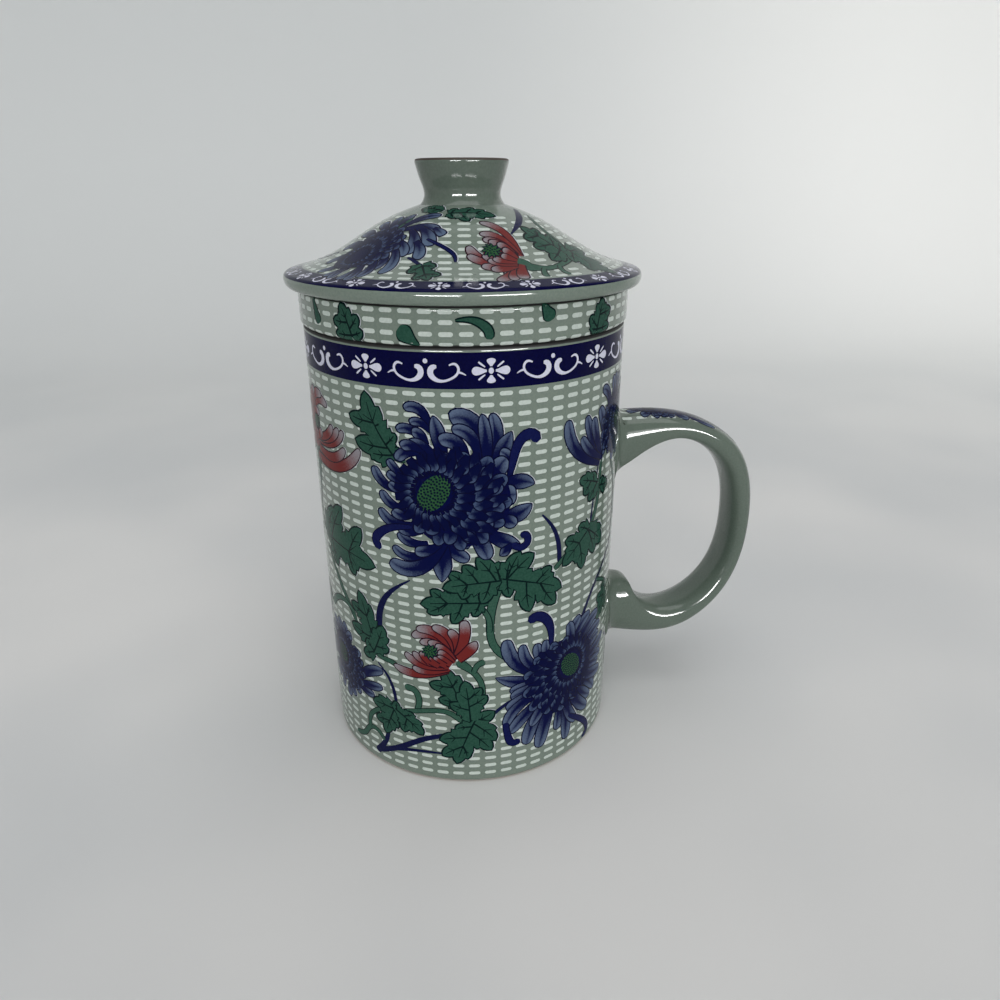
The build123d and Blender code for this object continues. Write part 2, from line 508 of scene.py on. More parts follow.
# roundings follow the corners of the outline, from the middle of the underside to the middle of the floor
mugShape = {"innerRadius": 36.2, "floor": 7.2, "footInner": 35.4, "footSlope": 1, "recess": 2.2,
            "roundings": (0, 1.5, 0.8, 1.5, 1.0, 0.9, 6.0, 0)}


def mugOutline(shape, size):
    # the mug's section: out along the underside, up the wall, over the rim and down to the floor inside
    return roundedOutline(withRounding([
        (0, shape["recess"]), (shape["footInner"] - shape["footSlope"], shape["recess"]),
        (shape["footInner"], 0), (size["radius"], 0), (size["radius"], size["top"]),
        (shape["innerRadius"], size["top"]), (shape["innerRadius"], shape["floor"]), (0, shape["floor"])],
        shape["roundings"]))


makePiece("mug_shell", [turned(mugOutline(mugShape, mugSize))], bodyGlaze, "mug", "mug_body")

infuserShape = {"cupRadius": 35.3, "draft": 0.7, "wall": 2.5, "floor": 3.0, "mouth": 36.5, "ledge": 4.1,
                "ledgeSlope": 0.8, "roundings": (0, 7.0, 0.8, 1.2, 0.9, 0.8, 1.0, 1.6, 5.0, 0),
                "holeDiameter": 2.8, "holePitch": 7.0, "holeRings": 3, "holeCorners": 20}


def infuserOutline(shape, size):
    # collar and cup in one section. Its two ends on the axis are left off, because the pierced floor fills
    # them
    footRadius = shape["cupRadius"] - shape["draft"]
    ledge, floor = collarFoot + shape["ledge"], size["foot"] + shape["floor"]
    whole = roundedOutline(withRounding([
        (0, size["foot"]), (footRadius, size["foot"]), (shape["cupRadius"], collarFoot),
        (size["radius"], collarFoot), (size["radius"], collarRim), (shape["mouth"], collarRim),
        (shape["mouth"], ledge), (shape["cupRadius"] - shape["wall"], ledge - shape["ledgeSlope"]),
        (footRadius - shape["wall"], floor), (0, floor)], shape["roundings"]))
    return whole[1:-1]


def piercedFloor(shape, outline, segments=roundSegments):
    # the strainer's floor: a disc minus circles, above and below, and the walls of the holes between them
    turn = np.linspace(0, 2 * math.pi, shape["holeCorners"] + 1)
    circle = np.stack([np.cos(turn), np.sin(turn)], -1)
    rings = [np.zeros((1, 2))]
    for ring in range(1, shape["holeRings"] + 1):
        a = np.linspace(0, 2 * math.pi, 6 * ring + 1)[:-1]
        rings.append(ring * shape["holePitch"] * np.stack([np.cos(a), np.sin(a)], -1))
    centres = np.concatenate(rings)
    radius = shape["holeDiameter"] / 2
    patches = []
    rim = np.linspace(0, 2 * math.pi, segments + 1)[:-1]
    for row, up in ((outline[0], -1), (outline[-1], 1)):
        edge = row[0] * np.stack([np.cos(rim), np.sin(rim)], -1)
        shapes = [edge] + [c + radius * circle[:-1] for c in centres]
        points, faces, owner = cutFlat(shapes, [], [])
        faces = faces[owner == 0]
        faces = faces if up > 0 else faces[:, ::-1]
        level = np.full((len(points), 1), row[1])
        normals = np.tile([0.0, 0.0, up], (len(points), 1))
        patches.append(patch(np.hstack([points, level]), normals, faces, points * up))
    around = centres[:, None, :] + radius * circle[None, :, :]
    cols = len(turn)
    levels = np.array([outline[0][1], outline[-1][1]])
    walls = np.concatenate([np.broadcast_to(around[:, None], (len(centres), 2, cols, 2)),
                            np.broadcast_to(levels[None, :, None, None], (len(centres), 2, cols, 1))], -1)
    inward = np.broadcast_to(np.append(-circle, np.zeros((cols, 1)), 1), walls.shape)
    faces = latticeFaces(2, cols)[:, ::-1][None] + np.arange(len(centres))[:, None, None] * 2 * cols
    # on the flat map a wall is the hole's circle, shifted a tenth of its height
    patches.append(patch(walls, inward, faces.reshape(-1, 4), walls[..., :2] + walls[..., 2:] / 10))
    return patches


def cutFlat(outlines, columns, levels):
    # lays outlines over each other on the flat and cuts them, and the lines through columns and levels,
    # into triangles that don't overlap; each triangle's owner is the last outline over it, or -1
    corners = np.concatenate(outlines)
    sizes = np.array([len(o) for o in outlines])
    starts = np.cumsum(sizes) - sizes
    low, high = corners.min(0) - 1, corners.max(0) + 1
    lines = [[(c, low[1]), (c, high[1])] for c in columns] + [[(low[0], v), (high[0], v)] for v in levels]
    edges = [(len(corners) + 2 * k, len(corners) + 2 * k + 1) for k in range(len(lines))]
    ends = np.array(lines).reshape(-1, 2)
    spots = np.concatenate([corners, ends]) if len(ends) else corners
    rings = [list(range(a, a + n)) for a, n in zip(starts.tolist(), sizes.tolist())]
    found = delaunay_2d_cdt(list(map(Vector, spots.tolist())), edges, rings, 0, 1e-4, True)
    points = np.array([tuple(v) for v in found[0]])
    faces = np.array(found[2])
    owner = np.array([max(f, default=-1) for f in found[5]])
    a, b, c = (points[faces[:, k]] for k in range(3))
    area = (b[:, 0] - a[:, 0]) * (c[:, 1] - a[:, 1]) - (b[:, 1] - a[:, 1]) * (c[:, 0] - a[:, 0])
    faces = np.where((area < 0)[:, None], faces[:, ::-1], faces)
    return points, faces[abs(area) > 1e-9], owner[abs(area) > 1e-9]


infuserLine = infuserOutline(infuserShape, collarSize)
makePiece("infuser_shell", [turned(infuserLine)] + piercedFloor(infuserShape, infuserLine), innerGlaze,
          "infuser", "infuser_cup")

# the dome's and the inside's places are (radius, height over the collar)
lidShape = {
    "beadRadius": 1.45, "beadRise": 0.7, "droop": 1.38, "groove": 0.9, "beadRows": (24, 22),
    "dome": [(34.4, 4.5), (27.0, 8.4), (19.0, 13.0)], "slope": 0.28, "seatSlope": 0.33, "domeRows": 60,
    "seatRadius": 10.4, "wall": 3.2, "seatSag": 0.6, "inside": [(19.0, 9.6), (27.0, 4.9)],
    "insideSlope": -0.35, "boreRadius": 33.2, "boreRise": 1.6, "flangeRadius": 36.0, "flangeRounding": 1.1}


def lidOutline(shape, size):
    # returns the underside, the showing side, which starts at the widest point of the rolled rim, and the
    # flat seat of the knob
    top = size["top"]
    radius, rise = shape["beadRadius"], shape["beadRise"]
    centre = np.array([size["radius"] - radius, collarTop + rise])
    landEnd = centre[0] - math.sqrt(radius**2 - rise**2)
    ceiling = top - shape["wall"]
    insideEnd = (shape["boreRadius"], collarTop + shape["boreRise"])
    inside = splineOutline([(0, ceiling), (shape["seatRadius"], ceiling - shape["seatSag"]),
                            *raised(collarTop, shape["inside"]), insideEnd],
                           (1, 0), (1, shape["insideSlope"]))
    rounding = shape["flangeRounding"]
    flange = roundedOutline([(*insideEnd, 0), (shape["boreRadius"], size["foot"], rounding),
                             (shape["flangeRadius"], size["foot"], rounding),
                             (shape["flangeRadius"], collarRim, 0), (landEnd - shape["groove"], collarRim, 0),
                             (landEnd, collarRim + shape["groove"], 0)])
    first = -math.pi + math.asin(rise / radius)
    last = math.pi / 2 - math.atan2(shape["slope"], 1)

    def bead(start, end, count):
        # centre + radius (cos a, sin a), drawn out downwards below its widest point
        a = np.linspace(start, end, count)
        way = np.stack([np.cos(a), np.sin(a)], 1)
        drawnOut = np.where(way[:, 1:] < 0, (1.0, shape["droop"]), (1.0, 1.0))
        return np.hstack([centre + radius * way * drawnOut, unit(way / drawnOut)])

    under = np.concatenate([inside, flange, bead(first, 0, shape["beadRows"][0])])
    upper = bead(0, last, shape["beadRows"][1])
    dome = splineOutline([upper[-1, :2], *raised(collarTop, shape["dome"]), (shape["seatRadius"], top)],
                         (-1, shape["slope"]), (-1, shape["seatSlope"]), shape["domeRows"])
    seat = np.array([[shape["seatRadius"], top, 0, 1], [0, top, 0, 1.0]])
    return under, np.concatenate([upper, dome[1:]]), seat


lidUnder, lidUpper, lidSeat = lidOutline(lidShape, lidSize)
makePiece("lid_shell", [turned(np.concatenate([lidUnder, lidUpper[1:], lidSeat]))], lidGlaze, "lid",
          "lid_dome")

# the side's places are (radius, height over the foot)
knobShape = {"footInset": 0.2, "side": [(9.2, 1.8), (10.0, 5.4)], "ways": ((-1, 1), (0.35, 1)), "rows": 60,
             "lipHeight": 1.2, "lipWall": 2.7, "bore": 6.5, "rounding": 0.7, "segments": 256}


def knobOutline(shape, size):
    # a spline up the side, a rounded lip, the bore and a flat foot
    foot, top, lip = size["foot"], size["top"], size["radius"]
    side = splineOutline([(lidShape["seatRadius"] - shape["footInset"], foot), *raised(foot, shape["side"]),
                          (lip, top)], *shape["ways"], shape["rows"])
    trimmed = side[side[:, 1] < top - shape["lipHeight"]]
    lipLine = roundedOutline([(*trimmed[-1, :2], 0), (lip, top, shape["rounding"]),
                              (lip - shape["lipWall"], top, shape["rounding"]), (shape["bore"], foot, 0),
                              (*side[0, :2], 0)])
    return np.concatenate([trimmed, lipLine])


makePiece("knob_ring", [turned(knobOutline(knobShape, knobSize), knobShape["segments"])], knobGlaze, "lid",
          "lid_knob")

handleShape = {
    "outer": [(37, 88.3), (58, 87.4), (76.4, 77.4), (81.975, 57), (75.6, 31), (63, 20.2), (50, 18.8),
              (37, 21.2)],
    "inner": [(37, 70.2), (42.5, 72.4), (47.3, 76.0), (57, 80.6), (70.3, 73.8), (75.7, 56), (71.0, 35.4),
              (58, 27.6), (53.5, 28.2), (50.0, 30.6), (47.9, 34.8), (45.6, 37.4), (42.0, 38.0), (37, 38.1)],
    "outerWays": [(1, 0), (-1, 0.2)], "innerWays": [(1, 0.3), (-1, 0.1)], "width": 14.0,
    "squareness": 2.4, "bunching": 0.55, "flare": 3.8, "flareDepth": 0.6, "rows": 260, "around": 64}


def handleSurface(shape):
    # for every row the section is a superellipse between the outer and the inner curve:
    # P = middle + half cos(a)^(2 / n) Y + depth sin(a)^(2 / n) E, with n the squareness. The angles bunch
    # towards the four corners
    outer = splineThrough(shape["outer"], *shape["outerWays"], shape["rows"])
    inner = splineThrough(shape["inner"], *shape["innerWays"], shape["rows"])
    middle = (outer + inner) / 2
    depth = np.linalg.norm(outer - inner, axis=1)[:, None] / 2
    up = unit(outer - inner)
    half, n = shape["width"] / 2, shape["squareness"]
    t = np.linspace(0, 1, shape["around"] + 1)
    a = 2 * math.pi * (t - shape["bunching"] * np.sin(8 * math.pi * t) / (8 * math.pi))
    c, s = np.cos(a), np.sin(a)
    across = np.sign(c) * abs(c) ** (2 / n)
    deep = np.sign(s) * abs(s) ** (2 / n)
    outY = np.broadcast_to(np.sign(c) * abs(c) ** (2 - 2 / n) / half, (len(outer), len(a)))
    outW = np.sign(s) * abs(s) ** (2 - 2 / n) / depth
    long = np.hypot(outY, outW)
    outY, outW = outY / long, outW / long
    y = np.broadcast_to(half * across, outY.shape)
    w = depth * deep

    def spots(y, w):
        flat = middle[:, None] + w[..., None] * up[:, None]
        return np.stack([flat[..., 0], y, flat[..., 1]], -1)

    # near the wall the section swells by R - sqrt(R^2 - (R - d)^2), a fillet of radius R
    gap = np.hypot(spots(y, w)[..., 0], y) - mugSize["radius"]
    reach = shape["flare"]
    swell = reach - np.sqrt(reach**2 - (reach - np.clip(gap, 0.0, reach)) ** 2)
    points = spots(y + swell * outY, w + shape["flareDepth"] * swell * outW)
    way = unit(np.gradient(points, axis=0))
    section = np.stack([outW * up[:, :1], outY, outW * up[:, 1:]], -1)
    normals = unit(section - way * (section * way).sum(-1, keepdims=True))
    chart = np.stack(np.broadcast_arrays(along(middle)[:, None], a * half), -1)
    return points, normals, chart, outer


handlePoints, handleNormals, handleMap, handleBack = handleSurface(handleShape)
handleFaces = latticeFaces(*handlePoints.shape[:2])
makePiece("handle_strap", [patch(handlePoints, handleNormals, handleFaces, handleMap)], handleGlaze, "mug",
          "mug_handle")
print("shells, lid, knob and handle made")

# flat shapes of the prints, as outlines with the name of an ink
lineWidth = 0.3
leafLineWidth = 0.36
randomSeed = 11
curlSpread = (0.7, 1.3)
petalLook = {"neck": 0.35, "belly": 0.66, "point": 1.9, "rows": 12, "crowding": 1.7, "lineNeck": 0.1}
leafLook = {
    "rootBack": 0.55, "rootSpan": (0.06, 0.6), "lobeCurl": 18, "ribParts": (0.8, 0.3),
    "ribWidths": (0.72, 0.9), "toothGap": 0.012, "toothFoot": 0.05, "toothDepth": 0.42, "toothPower": 0.8,
    "toothMean": 0.6, "bulk": 1.2, "stalkNeck": 0.2, "lobeNeck": 0.6, "belly": 0.42, "point": 1.3,
    "tipFade": 8, "tipReach": 1.2, "veinEnd": 0.86, "veinWidths": [0.5, 0.44, 0.34, 0.2],
    "forksAt": (0.42, 0.6), "forkReach": 0.26, "forkAngle": 44, "forkWidths": [0.34, 0.12]}


def unitCircle(count):
    # corners of a circle: (cos a, sin a)
    a = np.linspace(0, 2 * math.pi, count + 1)[:-1]
    return np.stack([np.cos(a), np.sin(a)], 1)


def heading(degrees):
    # the unit vector at an angle: (cos a, sin a)
    return np.array([math.cos(math.radians(degrees)), math.sin(math.radians(degrees))])


def blade(spine, half):
    # closed outline round a spine: spine - half side on the way out, spine + half side on the way back
    way = unit(np.gradient(spine, axis=0))
    side = half[:, None] * np.stack([-way[:, 1], way[:, 0]], 1)
    back = (spine + side)[::-1]
    return np.concatenate([spine - side, back[1:] if half[-1] < 1e-6 else back])


def curlSpine(start, end, curl, count=25, tighten=1.8):
    # a line whose heading turns by curl degrees in all, as curl t^tighten, turned and sized to end at end
    t = np.linspace(0, 1, count)
    steps = np.exp(1j * math.radians(curl) * ((t[1:] + t[:-1]) / 2) ** tighten)
    run = np.concatenate([[0], np.cumsum(steps)])
    line = complex(*start) + run * complex(end[0] - start[0], end[1] - start[1]) / run[-1]
    return np.stack([line.real, line.imag], 1)


def spotsOn(line, t):
    # places at the shares t of a line's length
    s = along(line)
    return np.stack([np.interp(t * s[-1], s, line[:, k]) for k in (0, 1)], 1)


def petalHalf(t, width, neck, belly, point):
    # half width: neck at the root, full at belly, then (1 - x^point)^(1 / point), blunter as point grows
    rise = neck + (1 - neck) * np.sin(np.clip(t / belly, 0, 1) * math.pi / 2) ** 1.5
    fall = (1 - np.clip((t - belly) / (1 - belly), 0, 1) ** point) ** (1 / point)
    return width / 2 * rise * fall


def lengthened(spine, more):
    # a spine with one more place straight on past its end
    return np.concatenate([spine, [spine[-1] + unit(spine[-1] - spine[-2]) * more]])


def petal(start, end, width, curl, fill="blue_petals", line="petal_lines", neck=petalLook["neck"],
          belly=petalLook["belly"], point=petalLook["point"]):
    # a filled blade on a curling spine, over a wider one in the line's ink; rows crowd towards the tip
    spine = curlSpine(start, end, curl)
    t = 1 - (1 - np.linspace(0, 1, petalLook["rows"])) ** petalLook["crowding"]
    longer = lengthened(spine, lineWidth)
    edge = petalHalf(t, width + 2 * lineWidth, neck + petalLook["lineNeck"], belly, point)
    half = petalHalf(t, width, neck, belly, point)
    return [{"outline": blade(spotsOn(longer, t), edge), "ink": line},
            {"outline": blade(spotsOn(spine, t), half), "ink": fill, "spine": spine, "half": width / 2}]


def stroke(places, widths, fill, line=None, count=18, edge=0.24):
    # a line through places with changing width and round ends, with a darker edge where line is given
    places = np.array(places, float)
    straightLine = len(places) == 2
    spine = spotsOn(places, np.linspace(0, 1, count)) if straightLine else splineThrough(places, count=count)
    s = along(spine)
    half = np.interp(s / s[-1], np.linspace(0, 1, len(widths)), widths) / 2

    def rounded(half, bluntness=0.12):
        nearEnd = np.minimum(s, s[-1] - s) + bluntness
        return half * np.sqrt(1 - (1 - np.clip(nearEnd / half, 0, 1)) ** 2)

    filled = {"outline": blade(spine, rounded(half)), "ink": fill, "spine": spine, "half": float(half.max())}
    return [{"outline": blade(spine, rounded(half + edge)), "ink": line}, filled] if line else [filled]


def leaf(base, tip, lobes, curl=0, width=0.5, teeth=4.5):
    # scalloped lobes on a curling midrib. Every lobe is a petal whose half width is cut into rounded,
    # forward-leaning teeth, 1 + depth (frac(t teeth)^power - mean), and leaves the rib far enough back to
    # point forwards
    look = leafLook
    rib = curlSpine(base, tip, curl)
    length = along(rib)[-1]
    ahead = unit(np.subtract(tip, base))
    span = np.linalg.norm(np.subtract(tip, base))
    spines = []
    for lobe in lobes:
        off = np.subtract(lobe[:2], base)
        level, aside = off @ ahead, abs(ahead[0] * off[1] - ahead[1] * off[0])
        rootAt = np.clip((level - look["rootBack"] * aside) / span, *look["rootSpan"])
        root = spotsOn(rib, np.array([rootAt]))[0]
        side = math.copysign(1, ahead[0] * off[1] - ahead[1] * off[0])
        spine = curlSpine(root, lobe[:2], -look["lobeCurl"] * side)
        spines.append((spine, lobe[2] if len(lobe) > 2 else width))
    stalkEnd, headStart = (int(len(rib) * part) for part in look["ribParts"])
    spines.append((rib[:stalkEnd], look["ribWidths"][0] * width))
    spines.append((rib[headStart:], look["ribWidths"][1] * width))
    stalk, head = len(spines) - 2, len(spines) - 1
    lines, fills, veins = [], [], []
    for number, (spine, wide) in enumerate(spines):
        own = along(spine)[-1]
        count = max(2, round(teeth * own / length))
        edges = np.arange(1, count) / count
        t = np.unique(np.concatenate([np.linspace(0, 1, petalLook["rows"]), edges - look["toothGap"],
                                      edges + look["toothGap"], edges + look["toothFoot"]]))
        tooth = ((t * count) % 1) ** look["toothPower"] - look["toothMean"]
        saw = 1 + look["toothDepth"] * tooth * np.clip(t * 3, 0, 1)
        bulk = wide * own + look["bulk"]
        neck = look["stalkNeck"] if number == stalk else look["lobeNeck"]
        half = petalHalf(t, bulk, neck, look["belly"], look["point"]) * saw
        rim = half + leafLineWidth * np.clip((1 - t) * look["tipFade"], 0, 1)
        longer = lengthened(spine, leafLineWidth * look["tipReach"])
        lines.append({"outline": blade(spotsOn(longer, t), rim), "ink": "leaf_lines"})
        fills.append({"outline": blade(spotsOn(spine, t), half), "ink": "leaf_green"})
        if number != stalk:
            vein = spotsOn(rib if number == head else spine, np.linspace(0, look["veinEnd"], 9))
            veins += stroke(vein, look["veinWidths"], "leaf_lines", count=9)
            fork, onward = spotsOn(spine, np.array(look["forksAt"]))
            turn = math.degrees(math.atan2(*(onward - fork)[::-1]))
            for way in (-1, 1):
                aside = fork + look["forkReach"] * own * heading(turn + way * look["forkAngle"])
                veins += stroke([fork, aside], look["forkWidths"], "leaf_lines", count=4)
    return lines + fills + veins


def drawn(petals, **look):
    # petals listed one by one from start to end, as (start, end, width, curl, bluntness of the tip); a
    # blunter petal is widest nearer its tip
    shapes = []
    for start, end, width, curl, point in petals:
        shapes += petal(start, end, width, curl, point=point, belly=0.6 + 0.05 * point, **look)
    return shapes


def fanned(centre, root, petals):
    # petals listed one by one round a centre, as (angle, reach, width, curl, bluntness of the tip)
    return drawn([(centre + root * heading(angle), centre + reach * heading(angle), *rest)
                  for angle, reach, *rest in petals])


def ring(centre, count, root, tip, width, curl, squash=(1.0, 1.0), first=0.0, last=360.0, jitter=0.1, **look):
    # count petals from angle first to last round a centre, each a little longer or shorter; where tip is
    # less than root they curl inwards
    draw = np.random.default_rng(randomSeed + count)
    swingStart = 0.6  # an inward petal starts this share of a step further round
    shapes = []
    for k in range(count):
        way = heading(first + (last - first) * (k + jitter * draw.uniform(-1, 1)) / count) * squash
        swing = heading(first + (last - first) * (k + swingStart) / count) * squash if tip < root else way
        end = tip + (tip - root) * jitter * draw.uniform(-1, 1)
        shapes += petal(centre + root * swing, centre + end * way, width * (1 + jitter * draw.uniform(-1, 1)),
                        curl * draw.uniform(*curlSpread), **look)
    return shapes


def seedHead(eye, size, lean, dots, dotRadius=0.29):
    # an oval head whose dots lie on a spiral: distance sqrt(k / dots), angle k golden angles
    goldenAngle = 137.5
    spin = np.stack([heading(lean), heading(lean + 90)])
    shapes = [{"outline": unitCircle(30) * size @ spin + eye, "ink": "seed_green"}]
    k = np.arange(dots) + 0.5
    a = k * math.radians(goldenAngle)
    spots = np.stack([np.cos(a), np.sin(a)], 1) * np.sqrt(k / dots)[:, None] * size @ spin + eye
    return shapes + [{"outline": spot + dotRadius * unitCircle(6), "ink": "seed_dots"} for spot in spots]


# rings of petals as (count, root, tip, width, curl), with lengths for a blossom of size 1, and how each
# petal is shaped and inked. A cupped ring's middle is its share of the way from the eye to the centre
blossomRings = {
    "open": [(13, 6.0, 12.2, 3.2, 45), (12, 5.0, 10.4, 3.0, -40)], "openStarts": (0, 14),
    "openLook": {"fill": "dark_petals"},
    "cupped": [(11, 12.6, 8.8, 2.5, 50), (13, 11.4, 7.0, 2.5, 50)], "cuppedShares": (0.75, 0.4),
    "cuppedTurn": 230, "cuppedLook": {"fill": "dark_petals", "belly": 0.7, "point": 2.4},
    "inner": (22, 9.4, 5.1, 2.1, 38),
    "innerLook": {"fill": "dark_petals", "neck": 0.6, "belly": 0.68, "point": 2.6},
    "spikes": (30, 5.4, 4.3, 0.32, 12),
    "spikesLook": {"fill": "dark_mass", "line": "petal_lines", "neck": 0.9, "belly": 0.3, "point": 1.1},
    "sepals": (11, 0.5, 2.0, 0.62, 20),
    "sepalsLook": {"fill": "seed_green", "line": "seed_dots", "neck": 0.8, "belly": 0.4, "point": 1.2},
    "fanRoot": 3.0, "backShare": 0.5, "backRadius": 8.8, "heartRadius": 7.6}


def sizedRing(centre, size, numbers, look, *placed):
    # one of blossomRings, with its lengths times size
    count, root, tip, width, curl = numbers
    return ring(centre, count, root * size, tip * size, width * size, curl, *placed, **look)


def blueBlossom(look, rings=blossomRings):
    # a chrysanthemum: outer petals listed one by one, a dark mass, petals that curl in over it, the seed head
    # and dark spikes over its rim. The mass lies round the centre and the seed head is the eye; lean turns
    # the head, and facing is where the cupped rings start
    centre, eye, size = np.array(look["centre"]), np.array(look["eye"]), look["size"]
    squash = np.array(look.get("squash", (1.0, 1.0)))
    outer = fanned(centre, rings["fanRoot"], look.get("fan", [])) + drawn(look.get("drawn", []))
    outer += drawn(look.get("pale", []), fill="steel_petals")
    for places, widths in look.get("hooks", []):
        outer += stroke(places, widths, "hooked_petals", "petal_lines")
    toMass = centre - eye
    middle = [{"outline": centre + look["mass"] * unitCircle(40), "ink": "dark_mass"}]
    for numbers, first in zip(rings["open"], rings["openStarts"]):
        middle += sizedRing(centre, size, numbers, rings["openLook"], squash, first, first + 360)
    back = eye + rings["backShare"] * toMass + rings["backRadius"] * size * unitCircle(36) * squash
    middle.append({"outline": back, "ink": "dark_mass"})
    first = look.get("facing", -60)
    for numbers, share in zip(rings["cupped"], rings["cuppedShares"]):
        middle += sizedRing(eye + share * toMass, size, numbers, rings["cuppedLook"], squash, first,
                            first + rings["cuppedTurn"])
    inner = [{"outline": eye + rings["heartRadius"] * size * unitCircle(36) * squash, "ink": "dark_mass"}]
    inner += sizedRing(eye, size, rings["inner"], rings["innerLook"], squash)
    spikes = sizedRing(eye, size, rings["spikes"], rings["spikesLook"], squash)
    head = seedHead(eye, look["eyeSize"], look.get("lean", 0), look["dots"]) if look["dots"] else []
    return {"outer": outer, "middle": middle, "inner": inner, "eye": head + spikes}


def redBlossom(look, rings=blossomRings):
    # long two-toned petals that arch round a small dark eye with pointed sepals, over a plain red heart
    eye, size = np.array(look["eye"]), look["size"]
    x, y, wide, tall = look["heart"]
    heart = [{"outline": unitCircle(24) * (wide, tall) + (x, y), "ink": "red_petals"}]
    petals = drawn(look["petals"], fill="red_petals", line="red_lines", neck=look.get("neck", 0.75))
    sepals = sizedRing(eye, size, rings["sepals"], rings["sepalsLook"])
    head = seedHead(eye, (1.1 * size, 1.3 * size), lean=0, dots=12, dotRadius=0.22)
    return {"outer": heart + petals, "eye": sepals + head}


borderLook = {
    "arms": [(0, 1.85, 4.1), (90, 1.9, 2.65), (180, 1.85, 4.1), (270, 1.9, 2.65)],  # (turn, width, reach)
    "armRoot": 0.95, "armNeck": 0.25, "armBelly": 0.72, "sepal": [(1.3, 0.8), (2.7, 1.9)],
    "sepalWidths": [0.25, 0.42, 0.36], "heart": (0.55, 0.66),
    "scroll": [(2.35, 0.95), (1.45, 0.75), (1.0, -0.3), (1.7, -1.5), (3.3, -2.1), (5.2, -1.65),
               (6.75, -0.45), (6.95, 0.75), (6.2, 1.55), (5.0, 1.25)],
    "scrollWidths": [0.9, 1.3, 1.25, 0.85, 0.52, 0.5, 0.5, 0.54, 0.56, 0.3],
    "tail": [(6.8, -0.2), (7.6, -0.35), (8.5, -0.85)], "tailWidths": [0.5, 0.4, 0.2],
    "dotRadius": 0.52, "dotAt": (0, 2.1)}


def bandOrnaments(look, grow):
    # the flower and the pair of scrolls of the border, each drawn about its own middle
    white = "border_white"
    flower = []
    for turn, wide, reach in look["arms"]:
        flower.append(petal(look["armRoot"] * heading(turn), reach * heading(turn), wide, 0, white,
                            neck=look["armNeck"], belly=look["armBelly"])[1])
    for side in ((1, 1), (-1, 1), (-1, -1), (1, -1)):
        flower += stroke(np.array(look["sepal"]) * side, look["sepalWidths"], white, count=6)
    flower.append({"outline": unitCircle(16) * look["heart"], "ink": white})
    scroll = stroke(look["scroll"], look["scrollWidths"], white, count=30)
    scroll += stroke(look["tail"], look["tailWidths"], white, count=6)
    pair = scroll + [{"outline": s["outline"][::-1] * (-1, 1), "ink": white} for s in scroll]
    pair.append({"outline": unitCircle(12) * look["dotRadius"] + look["dotAt"], "ink": white})
    return [[{"outline": s["outline"] * grow, "ink": white} for s in shapes] for shapes in (flower, pair)]


